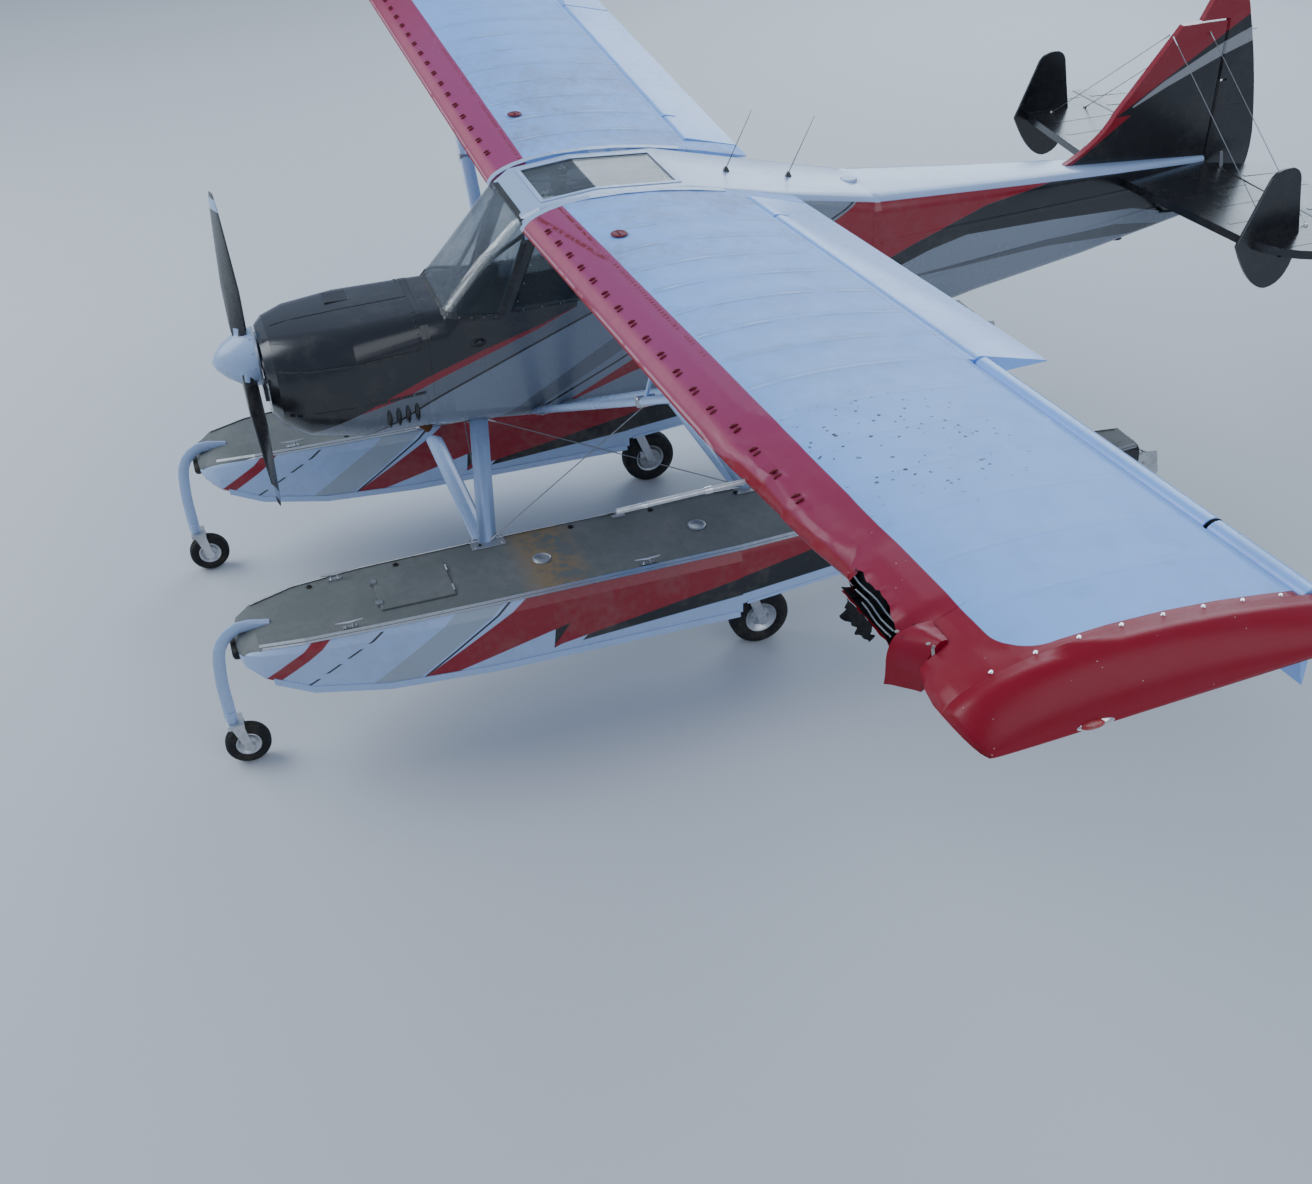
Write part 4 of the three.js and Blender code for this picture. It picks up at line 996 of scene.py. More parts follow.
def crumple(x, y, upper=True):
    """How far the crushed edge is folded aft and up at x and y."""
    depth = setting("wing", "crumple") * min(1, (x - 2.9) / 0.5, (4.34 - x) / 0.12)
    line = between(CRUSH, x)[2] + 0.03 + 0.01 * math.sin(x * 9) + 0.02 * bumps(x * 6, 0.3, 1.7)
    ridge = max(0, 1 - abs(y - line) / 0.042) if upper else 0
    fold = bumps(x * 5.5, y * 4, 2) + 0.6 * bumps(x * 13, y * 3, 7)
    away = max(0, (0.24 - y) / 0.24)
    return depth * 0.6 * abs(fold) * away, depth * (0.75 * ridge + 0.55 * fold * away)


def sag_between_ribs(bm, first, last):
    """Fabric dips between the ribs, least at the leading edge and the spars."""
    pitch, sag = setting("wing", "rib_pitch"), setting("wing", "fabric_sag")
    for vert in bm.verts:
        x, y = abs(vert.co.x), vert.co.y - ROOT.y
        if first < x < last:
            bay = abs(math.sin(math.pi * (x - WING_ROOT_X) / pitch)) * (1 - 0.85 * unit(x - 2.4))
            reach = unit((y - 0.24) / 0.2) * min(1, max(0, (1.28 - y) / 0.25) + 0.1)
            inward = -1 if vert.co.z > ROOT.z + rise(x, y) + 0.02 else 1
            vert.co.z += inward * sag * bay * reach


def crumple_edge(bm):
    """Folds and dents along the crushed part of the left wing's leading edge."""
    for vert in bm.verts:
        x, y = vert.co.x, vert.co.y - ROOT.y
        if x > CRUSH_X:
            back, down, new_back, new_down = between(CRUSH, x)
            soft = max(0, 1 - (y - back) / (CHORD - back / EASE) / EASE)
            vert.co.y += (new_back - back) * soft
            vert.co.z -= (new_down - down) * soft
            y = vert.co.y - ROOT.y
        if 2.9 < x < 4.34 and y < 0.24:
            aft, lift = crumple(x, y, vert.co.z - ROOT.z > rise(x))
            vert.co.y += aft
            vert.co.z += lift


def shape_wing(side):
    """Cuts a wing finely enough for its sag and, on the left, for its crushed edge."""
    def shape(bm):
        pitch = setting("wing", "rib_pitch") / 4
        sliced(bm, "x", [side * (WING_ROOT_X + pitch * k) for k in range(1, 64)])
        sliced(bm, "x", [side * (WING_ROOT_X + pitch * k + d) for k in range(4, 64, 4) for d in (-0.018, 0.018)])
        sliced(bm, "y", [ROOT.y + y for y in (0.1, 0.18, 0.24, 0.33, 0.45, 0.65, 0.85, 1, 1.1, 1.2)])
        if side > 0:
            sliced(bm, "x", steps(2.92, 4.34, 0.03))
            sliced(bm, "y", [ROOT.y + y for y in (0.03, 0.045, 0.06, 0.08, 0.14, 0.21)])
        sag_between_ribs(bm, WING_ROOT_X + 0.02, 5.1)
        if side > 0:
            crumple_edge(bm)
            # The torn faces inside the opening take the near-black cloth: painted shade.
            for face in bm.faces:
                x, y, _ = face.calc_center_median() - ROOT
                if 4.33 < x < 4.79 and y < 0.17 and (abs(face.normal.x) > 0.6 or face.normal.y < -0.75):
                    face.material_index = 1
    return shape


# --- stage --------------------------------------------------------------------------------


class FLOATPLANE_OT_stage(bpy.types.Operator):
    """Pale floor, soft studio light and the camera"""

    bl_idname = "floatplane.stage"
    bl_label = "Stage"

    def execute(self, context):
        world = bpy.data.worlds.new("Studio")
        context.scene.world = world
        world.use_nodes = True
        sky = world.node_tree.nodes["Background"]
        sky.inputs[0].default_value, sky.inputs[1].default_value = (0.6, 0.74, 1, 1), 0.52
        bm = bmesh.new()
        bmesh.ops.create_grid(bm, x_segments=1, y_segments=1, size=60)
        mesh = bpy.data.meshes.new("floor")
        bm.to_mesh(mesh)
        bm.free()
        mesh.materials.append(finish("floor", lambda t: look((0.62, 0.63, 0.64), 0.75)))
        placed("floor", mesh)
        for name, place, power, tone in (("key", (-6, -13, 12), 2200, (0.86, 0.94, 1)),
                                         ("back", (-11, 9, 10), 1650, (0.74, 0.88, 1)),
                                         ("fill", (13, 4, 10), 720, (0.9, 0.94, 1))):
            lamp = bpy.data.lights.new(name, "AREA")
            lamp.shape, lamp.size, lamp.energy, lamp.color = "DISK", 15, power, tone
            thing = placed(name, lamp)
            thing.location = place
            thing.rotation_euler = (up(1.5) - Vector(place)).to_track_quat("-Z", "Y").to_euler()
        optics = bpy.data.cameras.new("camera")
        optics.lens, optics.sensor_width, optics.clip_end = 41.65, 36, 200
        camera = placed("camera", optics)
        right, upward, back = (0.3327, 0.9426, -0.0265), (-0.5411, 0.2139, 0.8133), (0.7723, -0.2563, 0.5812)
        turn = Matrix((right, upward, back)).transposed().to_4x4()
        camera.matrix_world = Matrix.Translation(at(8.0998, -1.8553, 3.2004)) @ turn
        context.scene.camera = camera
        return {"FINISHED"}


# --- wings --------------------------------------------------------------------------------


def vanes(name, side):
    """Pairs of small vanes just behind the leading edge."""
    mesh = Mesh()
    for x in steps(0.66, 3.86 if side > 0 else 4.86, setting("wing", "vane_pitch")):
        for sign in (-1, 1):
            middle = at(side * x + 0.018 * sign, 0.078, wing_top(x, 0.078) + 0.0035)
            if side > 0 and x > CRUSH_X:
                middle = at(middle.x, 0.1, eased_top(x, 0.1) + crumple(x, 0.1)[1] + 0.005)
            turn = Matrix.Rotation(math.radians(10 * sign), 4, "Z") @ Matrix.Rotation(math.radians(20), 4, "X")
            blade = Matrix.Translation(middle) @ turn @ Matrix.Diagonal((0.006, 0.019, 0.0085, 1))
            bmesh.ops.create_icosphere(mesh.bm, subdivisions=2, radius=1, matrix=blade)
    mesh.piece("vortex_vanes_" + name, "vane red", smooth=50)


def tip_details(name, side):
    """Screws along the seam, and the light in its bright rim on the tip's outer edge."""
    screws = Mesh()
    for y in steps(0.16, 1.46, 0.145):
        screws.stud((side * TIP_X, y, wing_top(TIP_X, y)), Z_AXIS, 0.009, 0.004, 8)
        screws.stud((side * TIP_X, y, UNDERSIDE + rise(TIP_X, y)), -Z_AXIS, 0.009, 0.003, 8)
    screws.piece("tip_screws_" + name, "chrome")
    centre = at(side * 5.288, 0.42, 0.262)
    base = Mesh()
    base.ball(centre, 1, (0.024, 0.075, 0.021), 3)
    base.piece("tip_light_base_" + name, "chrome")
    light = Mesh()
    light.ball(centre + vec(side * 0.009, -0.01, 0.003), 1, (0.019, 0.047, 0.017), 3)
    light.piece("tip_light_" + name, "red lens" if side > 0 else "green lens")


def root_details(name, side):
    """Fairing strip at the root and the fuel cap."""
    strip = Mesh()
    x = 0.376
    stations = (0, 0.02, 0.05, 0.1, 0.16, 0.26, 0.4, 0.6, 0.8, 1, 1.19)
    path = [at(side * x, y, wing_top(x, y) + 0.0005) for y in stations]
    strip.ribbon(path, Z_AXIS, 0.05, 0.0025)
    strip.piece("root_strip_" + name, "white paint")
    screws = Mesh()
    screws.studs([place + up(0.0025) for place in path], 0.09, Z_AXIS)
    screws.piece("root_screws_" + name, "steel")
    cap = Mesh()
    place = at(side * 1.03, 0.355, wing_top(1.03, 0.355) + 0.001)
    profile = [(0, 0), (0.045, 0), (0.045, 0.004), (0.039, 0.008), (0.03, 0.008), (0.028, 0.006), (0, 0.006)]
    cap.spun(profile, place, Z_AXIS, 28)
    cap.box(place + vec(-0.022, -0.004, 0.005), place + vec(0.022, 0.004, 0.011))
    cap.piece("fuel_cap_" + name, "vane red", bevel=0.001)


def underside(name, side):
    """Inspection covers and the tie-down ring."""
    covers = Mesh()
    for x, y in ((0.8, 0.5), (1.5, 0.5), (2.2, 0.95), (3, 0.95), (3.7, 0.9), (4.63, 1)):
        place = at(side * x, y, UNDERSIDE + 0.0005 + rise(x, y))
        covers.spun([(0, 0), (0.058, 0), (0.055, 0.003), (0, 0.0035)], place, -Z_AXIS, 24)
    covers.piece("inspection_covers_" + name, "white paint", smooth=25)
    ring = Mesh()
    centre = at(side * 2.86, 0.32, -0.076 + rise(2.86))
    ring.hoop(centre, X_AXIS, Z_AXIS, 0.017, 0.017, 0.004, 16)
    ring.rod(centre + up(0.014), centre + up(0.024), 0.006)
    ring.piece("tie_down_ring_" + name, "steel")


class FLOATPLANE_OT_wings(bpy.types.Operator):
    """Fabric wings with their tips, vortex vanes, fuel caps and lights"""

    bl_idname = "floatplane.wings"
    bl_label = "Wings"

    def execute(self, context):
        for name, side in SIDES:
            dressed("wing_" + name, ["wing fabric", "torn cloth"], shape=shape_wing(side), smooth=33)
            dressed("wing_tip_" + name, "wing fabric", smooth=50)
            for build in (vanes, tip_details, root_details, underside):
                build(name, side)
        return {"FINISHED"}


def bay():
    """The inside of the bay: its wall and bent ribs in near-black painted shade, its slats and lamp socket."""
    profile = [(0, 0.1, 0.066), (0.15, 0.13, 0.058), (0.35, 0.141, 0.025), (0.6, 0.14, -0.02), (0.75, 0.12, -0.034),
               (0.9, 0.07, -0.03), (1, 0.05, -0.022)]

    def wall(u, v):
        x = 4.343 + 0.436 * u
        y, z = between(profile, v)
        fold = bumps(u * 9, v * 7, 3.1) * 0.008
        return at(x, y - abs(fold), z + fold + rise(x))
    curved_plate("bay_wall", wall, 26, 22, 0.0015, "torn cloth", smooth=30)
    ribs = Mesh()
    for x in (4.42, 4.55, 4.67):
        outer = [at(x, y - 0.004, z * 0.94 + rise(x)) for _, y, z in profile]
        inner = [at(x, y - 0.026, z * 0.62 + rise(x)) for _, y, z in reversed(profile[1:-1])]
        ribs.sweep([outer + inner, [place + vec(0.0025, 0.004, 0) for place in outer + inner]])
    ribs.piece("bay_ribs", "torn cloth", smooth=20)
    slats = Mesh()
    for k, (y, drop) in enumerate(((0.068, 0.02), (0.06, 0.05), (0.062, 0.084))):
        path = []
        for x in steps(4.4 + 0.035 * k, 4.72 - 0.02 * k, 0.04):
            path.append(at(x, y - 0.004 * math.sin(x * 30 + k), wing_top(x, 0.07) - drop - 0.02 * (x - 4.5) * k))
        slats.ribbon(path, vec(0.1, -0.5, 0.85).normalized(), 0.0055, 0.002)
    slats.piece("bay_slats", "grey paint", smooth=20)
    socket = Mesh()
    socket.rod((4.74, 0.1, 0.02 + rise(4.74)), (4.783, 0.055, -0.01 + rise(4.78)), 0.02, 14)
    socket.rod((4.7, 0.1, 0.045 + rise(4.7)), (4.782, 0.06, 0.04 + rise(4.78)), 0.006, 8)
    socket.piece("bay_socket", "chrome")


def torn_skin():
    """What is left of the skin round the bay: its ragged top edge, the lower lip and a loose flap."""
    first, last = 4.25, 4.788
    edge = [(first, 0.15), (4.31, 0.11), (4.338, 0.08), (4.49, 0.083), (4.62, 0.072), (4.76, 0.052), (4.79, 0.05)]

    def top(u, v):
        x = first + (last - first) * u
        ragged = bumps(x * 16, 4, 1.7) + 0.6 * bumps(x * 41, 1, 1.7)
        y = 0.262 + (between(edge, x)[0] + 0.006 * ragged - 0.262) * v
        curl = 0.01 * max(0, v - 0.85) / 0.15 * ragged
        whole = min(1, max(0, (x - first) / 0.15), max(0, (4.79 - x) / 0.09))
        whole = whole * whole * (3 - 2 * whole)
        low = eased_top(x, y) + (crumple(x, y)[1] if x < 4.34 else 0)
        return at(x, y, low + (wing_top(x, y) - low) * whole + 0.001 + curl)

    def lip(u, v):
        """Round the nose, from its underside to the top."""
        x = 4.335 + (0.01 + 0.02 * bumps(v * 6, 2, 5) + 0.05 * (1 - v)) * u
        turn = -1 + 1.85 * v
        return on_nose(x, 0.1 * abs(turn) ** 1.6, turn > 0, -0.001 - 0.006 * u)

    def low(u, v):
        x = 4.345 + 0.44 * u
        y = 0.165 - v * (0.115 + 0.012 * bumps(x * 19, 6, 2.7))
        return at(x, y, section_height(WING_LOW, y / CHORD) - 0.001 + rise(x))

    def flap(u, v):
        fold = bumps(u * 6, v * 6, 8.4)
        x = 4.39 + 0.19 * u + 0.03 * v
        hang = 0.045 * v * (1.3 - 0.9 * abs(u - 0.4))
        return at(x, 0.05 - 0.02 * v + 0.03 * fold * v, -0.04 + rise(x) - hang + 0.01 * fold)

    # The loose flap takes the near-black cloth: painted shade.
    for name, shape, across, along, cloth in (("torn_top_skin", top, 54, 18, "wing fabric"),
                                              ("torn_lower_lip", lip, 8, 18, "wing fabric"),
                                              ("torn_lower_skin", low, 30, 8, "wing fabric"),
                                              ("torn_flap", flap, 16, 10, "torn cloth")):
        curved_plate(name, shape, across, along, 0.0016 if shape is flap else 0.0012, cloth, smooth=30)


def buckled_nose():
    """The piece of leading edge outboard of the bay, pushed back into a box with sharp folds."""
    box = Mesh()
    bmesh.ops.create_cube(box.bm, size=1)
    bmesh.ops.subdivide_edges(box.bm, edges=box.bm.edges[:], cuts=9, use_grid_fill=True)
    for vert in box.bm.verts:
        u, v, w = (part + 0.5 for part in vert.co)
        x = 4.788 + 0.112 * u + 0.01 * (1 - w) * (1 - u)
        front = -0.012 + 0.075 * u + 0.025 * w ** 5
        y = front + (0.14 - front) * v
        low = -0.108 + 0.015 * u + 0.05 * v
        high = 0.062 + 0.03 * min(1, v * 1.8) ** 0.7
        z = low + (high - low) * w
        fold, sharp = bumps(x * 11, y * 13, z * 9), abs(bumps(x * 23, y * 17, z * 12))
        lift = rise(x) + 0.006 * fold + 0.006 * sharp * w
        vert.co = at(x + 0.004 * fold, y + 0.008 * fold + 0.006 * sharp, z + lift)
    box.piece("buckled_nose", "wing fabric", smooth=22, bevel=0.003)
    # A pale strip along the fold at the outer edge and pale dabs at the corners: painted highlights.
    creases = Mesh()
    path = []
    for k in range(8):
        x, y = 4.905 + 0.006 * math.sin(k * 1.9), 0.066 + 0.01 * k - 0.001 * k * k
        path.append(at(x, y, rise(4.905) - 0.05 + 0.02 * k))
    creases.ribbon(path, vec(0.7, -0.7, 0.2).normalized(), 0.01, 0.003)
    for x, y, z in ((4.795, 0.02, 0.088), (4.895, 0.075, 0.09), (4.79, -0.004, -0.02)):
        creases.ball((x, y, z + rise(x)), 0.006, (1, 1.5, 0.8))
    creases.piece("buckled_nose_creases", "sealant")


class FLOATPLANE_OT_crush(bpy.types.Operator):
    """The torn lamp bay and the box of buckled skin in the left leading edge"""

    bl_idname = "floatplane.crush"
    bl_label = "Crushed leading edge"

    def execute(self, context):
        bay()
        torn_skin()
        buckled_nose()
        return {"FINISHED"}


class FLOATPLANE_OT_surfaces(bpy.types.Operator):
    """Ailerons and flaps with their hinge gaps and horns"""

    bl_idname = "floatplane.surfaces"
    bl_label = "Ailerons and flaps"

    def execute(self, context):
        for name, side in SIDES:
            for kind in ("flap_", "aileron_"):
                dressed(kind + name, "surface paint", smooth=40, bevel=0.002)
            gaps = Mesh()
            for x in (4.6215, 4.6385):
                hinge = at(side * x, 1.3, -0.007 + rise(x, 1.3))
                gaps.spun([(0.02, 0), (0.0475, 0), (0.0475, 0.0012), (0.02, 0.0012)], hinge, X_AXIS, 40)
            gaps.piece("aileron_hinge_gap_" + name, "rubber", body="aileron_" + name)
            horn = Mesh()
            x = 0.9
            outline = ((1.302, -0.032), (1.335, -0.032), (1.33, -0.112), (1.31, -0.112))
            horn.sweep([[at(side * x + w, y, z + rise(x)) for y, z in outline] for w in (-0.005, 0.005)])
            horn.piece("flap_horn_" + name, "alloy", body="flap_" + name, bevel=0.002)
        return {"FINISHED"}


# --- struts -------------------------------------------------------------------------------

# Where the lift struts meet the fuselage and the wing, and the float struts the deck and the belly
LIFT_STRUTS = ((0.02, 0.3), (0.175, 1.01))
FLOAT_STRUTS = ((-0.45, -0.33), (1.2, 0.9))
STRUT_FOOT_X = 0.77


def on_strut(side, ends, part):
    """A place on a lift strut, from its foot at 0 to its head at 1."""
    low = at(side * 0.33, ends[0], -1.135)
    high = at(side * 2.75, ends[1], -0.036 + rise(2.75, ends[1]))
    return low.lerp(high, part)


def jury(name, side):
    """The short struts from the lift struts to the wing."""
    mesh, clamps = Mesh(), Mesh()
    feet = [on_strut(side, ends, 0.63) for ends in LIFT_STRUTS]
    for foot, y in zip(feet, (0.3, 0.8)):
        x = abs(foot.x)
        head = at(side * x, y, -0.05 + rise(x, y))
        mesh.rod(foot + up(0.01), head, 0.011, 12)
        mesh.rod(head - Y_AXIS * 0.018, head + Y_AXIS * 0.018, 0.016)
    mesh.rod(*feet, 0.011, 12)
    mesh.piece("jury_struts_" + name, "white paint", smooth=45)
    for foot in feet:
        clamps.box(foot + vec(-0.018, -0.05, -0.026), foot + vec(0.018, 0.05, 0.026))
    clamps.piece("jury_clamps_" + name, "alloy", bevel=0.006)


def fittings(name, side):
    """Forks, bolts and cuffs where the struts end."""
    forks, bolts, plates = Mesh(), Mesh(), Mesh()
    for ends in LIFT_STRUTS:
        low, near, bolt = (on_strut(side, ends, part) for part in (0.02, 0.075, 0.035))
        for push in (-0.024, 0.024):
            forks.ribbon([low + up(push), near + up(push)], up(math.copysign(1, push)), 0.05, 0.004)
        bolts.rod(bolt - up(0.034), bolt + up(0.034), 0.008, 8)
        high, near = on_strut(side, ends, 0.985), on_strut(side, ends, 0.95)
        forks.box(high - vec(0.03, 0.013, 0.03), high + vec(0.03, 0.013, 0.02))
        bolts.rod(near - Y_AXIS * 0.03, near + Y_AXIS * 0.03, 0.007, 8)
    forks.piece("strut_forks_" + name, "alloy", bevel=0.0015)
    for y, high_y in FLOAT_STRUTS:
        foot, head = at(side * STRUT_FOOT_X, y, -1.71), at(side * 0.29, high_y, -1.12)
        for near in (foot.lerp(head, 0.1), head.lerp(foot, 0.1)):
            for push in (-0.032, 0.032):
                bolts.rod(near + Y_AXIS * (push - 0.008), near + Y_AXIS * (push + 0.008), 0.008, 8)
    bolts.piece("strut_bolts_" + name, "steel", smooth=30)
    for y, _ in FLOAT_STRUTS:
        base = at(side * STRUT_FOOT_X, y, -1.69)
        plates.box(base + vec(-0.055, -0.1, 0), base + vec(0.055, 0.1, 0.006))
        for dx, dy in ((-0.04, -0.08), (0.04, -0.08), (-0.04, 0.08), (0.04, 0.08)):
            plates.stud(base + vec(dx, dy, 0.006), Z_AXIS, 0.009, 0.007)
    plates.piece("strut_feet_" + name, "alloy", bevel=0.0015)


def wires():
    """Streamlined wires between the float struts and the tail."""
    mesh, ends = Mesh(), Mesh()

    def wire(a, b, radius=0.0035):
        a, b = at(*a), at(*b)
        mesh.rod(a, b, radius, 6)
        for end, other in ((a, b), (b, a)):
            ends.rod(end, end + (other - end).normalized() * 0.07, radius * 2.2, 8, radius * 1.3)
    foot, head = 0.765, 0.3
    for y, high_y in FLOAT_STRUTS:
        for side in SIGNS:
            wire((side * foot, y, -1.68), (-side * head, high_y, -1.13))
    for side in SIGNS:
        wire((side * foot, -0.43, -1.68), (side * head, 0.87, -1.14))
        wire((side * foot, 1.17, -1.68), (side * head, -0.3, -1.14))
        for y in (4.33, 4.6):
            wire((side * 0.02, y, 0.44), (side * 1.2, y, -0.396), 0.0025)
    mesh.piece("brace_wires", "steel", smooth=60)
    ends.piece("brace_wire_ends", "alloy", smooth=60)


class FLOATPLANE_OT_struts(bpy.types.Operator):
    """Lift struts, jury struts, float struts, braces, wires and their end fittings"""

    bl_idname = "floatplane.struts"
    bl_label = "Struts"

    def execute(self, context):
        for name, side in SIDES:
            for kind in ("lift_strut_front_", "lift_strut_rear_", "float_strut_front_", "float_strut_rear_"):
                dressed(kind + name, "white paint", smooth=50, join=False)
            dressed("tail_brace_" + name, "grey paint", smooth=50, join=False)
            jury(name, side)
            fittings(name, side)
        for where in ("front", "rear"):
            dressed("spreader_bar_" + where, "white paint", smooth=50)
        dressed("pitot_boom", "alloy", smooth=50)
        head = Mesh()
        head.rod((3.52, -0.36, 0.1635), (3.52, -0.475, 0.1605), 0.0125, 14, 0.004)
        head.rod((3.52, -0.1, 0.171), (3.52, -0.13, 0.17), 0.0145, 14)
        head.piece("pitot_head", "chrome", smooth=40)
        wires()
        return {"FINISHED"}


# --- fuselage -----------------------------------------------------------------------------

# Window openings from the wing: side, corners (y, z), body, and width of the frame
WINDOWS = {
    "window_left": (1, [(-0.092, -0.47), (1.29, -0.47), (1.56, -0.17), (1.5, -0.1), (0.075, -0.1)], "airframe", 0.024),
    "window_right_front": (-1, [(-0.092, -0.47), (0.4, -0.47), (0.4, -0.1), (0.075, -0.1)], "airframe", 0.02),
    "window_right_rear": (-1, [(1.086, -0.47), (1.29, -0.47), (1.56, -0.17), (1.5, -0.1), (1.086, -0.1)], "airframe",
                          0.02),
    "door_window": (-1, [(0.488, -0.427), (1.012, -0.427), (1.012, -0.12), (0.488, -0.12)], "door_upper", 0.018),
}


def line_inside(bm):
    """The inner faces take the cabin's lining."""
    for face in bm.faces:
        if depth_inside(face.calc_center_median()) > 0.012:
            face.material_index = 1


def frames():
    """Raised frames with screws round the side windows and doors."""
    thick = 0.0045
    for name, (side, corners, body, width) in WINDOWS.items():
        mesh, screws = Mesh(), Mesh()
        bm = mesh.bm
        places = [on_skin(side, y, z, 0.0008) for y, z in corners]
        face = bm.faces.new([bm.verts.new(place) for place in places])
        bmesh.ops.inset_individual(bm, faces=[face], thickness=width, use_even_offset=True)
        bmesh.ops.delete(bm, geom=[face], context="FACES")
        made = bmesh.ops.extrude_face_region(bm, geom=bm.faces[:])["geom"]
        outer = [part for part in made if isinstance(part, bmesh.types.BMVert)]
        bmesh.ops.translate(bm, verts=outer, vec=(side * thick, 0, 0))
        mesh.piece(name + "_frame", "cabin plastic", body=body, smooth=25, bevel=0.0012)
        middle = sum(places, Vector()) / len(places)
        inner = [place + (middle - place).normalized() * width * 0.62 for place in places]
        for place in along_path(inner + inner[:1], 0.11):
            screws.stud(place + X_AXIS * side * thick, X_AXIS * side, 0.004, 0.0018)
        screws.piece(name + "_screws", "steel", body=body)


def windshield_seal():
    """The seal along the base of the windshield, with its screws."""
    base = []
    for k in range(13):
        y = -0.15 - 0.32 * math.sin(math.pi / 2 * k / 12)
        z = -0.438 - (y + 0.47) * 0.15
        base.append((skin_half(y, z), y, z))
    left, right = ([at(side * x, y, z) for x, y, z in base] for side in SIGNS)
    route = left + [at(x, -0.47, -0.4315) for x in steps(0.2, -0.2, -0.1)] + right[::-1]
    outs = []
    for place in route:
        x = place.x
        out = vec(x / 0.37, -0.35, 0.8 - abs(x)) if abs(x) < 0.36 else vec(math.copysign(1, x), -0.1, 0.12)
        outs.append(out.normalized())
    seal, screws = Mesh(), Mesh()
    seal.ribbon(route, outs, 0.034, 0.006)
    seal.piece("windshield_base_seal", "cabin plastic", smooth=40)
    lifted = [place + out * 0.007 for place, out in zip(route, outs)]
    for place, head in zip(along_path(route, 0.07), along_path(lifted, 0.07)):
        if head != place:
            out = (head - place).normalized()
            screws.stud(place + out * 0.0055, out, 0.004)
    screws.piece("windshield_screws", "steel")


def windshield_trim():
    """Pillar strips and the tubes behind the glass."""
    strips, tubes = Mesh(), Mesh()
    for side in SIGNS:
        pillar = ((-0.15, -0.486), (-0.09, -0.34), (-0.03, -0.19), (0.012, -0.085))
        strips.ribbon([on_skin(side, y, z, 0.001) for y, z in pillar], vec(side, -0.25, 0.1).normalized(), 0.03, 0.005)
    top = [at(x, 0.022, skin_top(0.02, x) + 0.001) for x in steps(0.32, -0.32, -0.08)]
    strips.ribbon(top, vec(0, -0.3, 0.95).normalized(), 0.03, 0.005)
    strips.piece("windshield_pillars", "cabin plastic", smooth=40)
    for side in SIGNS:
        for start, end, radius in (((0, -0.4, -0.455), (0.315, 0.03, -0.045), 0.0125),
                                   ((0.325, -0.15, -0.49), (0.325, 0.03, -0.05), 0.0125),
                                   ((0.312, 0.05, -0.06), (0.312, 0.84, -0.47), 0.011),
                                   ((0.312, 0.88, -0.47), (0.312, 1.42, -0.13), 0.011),
                                   ((0.3, 0.03, 0.03), (0.3, 1.5, -0.045), 0.0125)):
            tubes.rod((side * start[0], *start[1:]), (side * end[0], *end[1:]), radius, 12)
    for y, z in ((0.03, 0.015), (1.02, 0.03)):
        tubes.rod((0.31, y, z), (-0.31, y, z), 0.0125, 12)
    tubes.piece("cabin_tubes", "cabin lining", smooth=50)


def fabric_lines():
    """Joint rings round the fuselage, stringers under the fabric and covers on the belly."""
    rings, stringers, covers = Mesh(), Mesh(), Mesh()
    for y, width in ((2.2, 0.05), (-0.6, 0.03)):
        rings.ribbon(*ring_round(y, 0.0004), width, 0.0022)
    rings.piece("joint_rings", "side paint", smooth=40)
    outline = ((0, -0.03), (0.0032, -0.012), (0.0065, 0), (0.0032, 0.012), (0, 0.03))
    for side in SIGNS:
        for share in (0.32, 0.68):
            bars = []
            for y in steps(2.24, 4.55, 0.2):
                _, top, low, _, _ = between(SECTIONS, y)
                place = on_skin(side, y, top + (low - top) * share, -0.003)
                bars.append([place + vec(side * out, 0, z) for out, z in outline])
            stringers.sweep(bars)
    stringers.piece("stringers", "side paint", smooth=60)
    for side in SIGNS:
        for y in (0.3, 1, 1.7, 2.5, 3.3, 4.1):
            half, _, low, _, _ = between(SECTIONS, y)
            place = (side * half * 0.45, y, low - 0.0005)
            covers.spun([(0, 0), (0.05, 0), (0.046, 0.003), (0, 0.0035)], place, -Z_AXIS, 20)
    covers.piece("belly_covers", "side paint", smooth=25)


def door_fittings():
    """Handle, latches, pocket and boarding step of the two-part door."""
    handle, latches, pocket, step = Mesh(), Mesh(), Mesh(), Mesh()
    out = -0.3605
    knob = [(0, 0), (0.02, 0), (0.02, 0.006), (0.012, 0.014), (0, 0.014)]
    handle.spun(knob, (out, 0.98, -0.53), -X_AXIS, 20)
    handle.box((out - 0.022, 0.875, -0.538), (out - 0.012, 0.99, -0.522))
    handle.piece("door_handle", "chrome", body="door_lower", bevel=0.002)
    for y in (0.54, 0.96):
        latches.box((out - 0.012, y - 0.02, -0.47), (out, y + 0.02, -0.445))
    latches.piece("door_upper_latches", "alloy", body="door_upper", bevel=0.002)
    for z in (-0.96, -0.9, -0.84):
        pocket.box((-0.318, 0.52, z - 0.004), (-0.312, 0.98, z + 0.004))
    pocket.box((-0.316, 0.5, -0.99), (-0.31, 1, -0.74))
    pocket.piece("door_pocket", "cabin plastic", body="door_lower", bevel=0.002)
    step.box((-0.405, 0.6, -1.09), (-0.352, 0.78, -1.083))
    for y in (0.61, 0.77):
        step.rod((-0.352, y, -1.13), (-0.4, y, -1.088), 0.006)
    step.piece("boarding_step", "alloy", bevel=0.002)


def roof_height(y):
    return between(SECTIONS, y)[1]


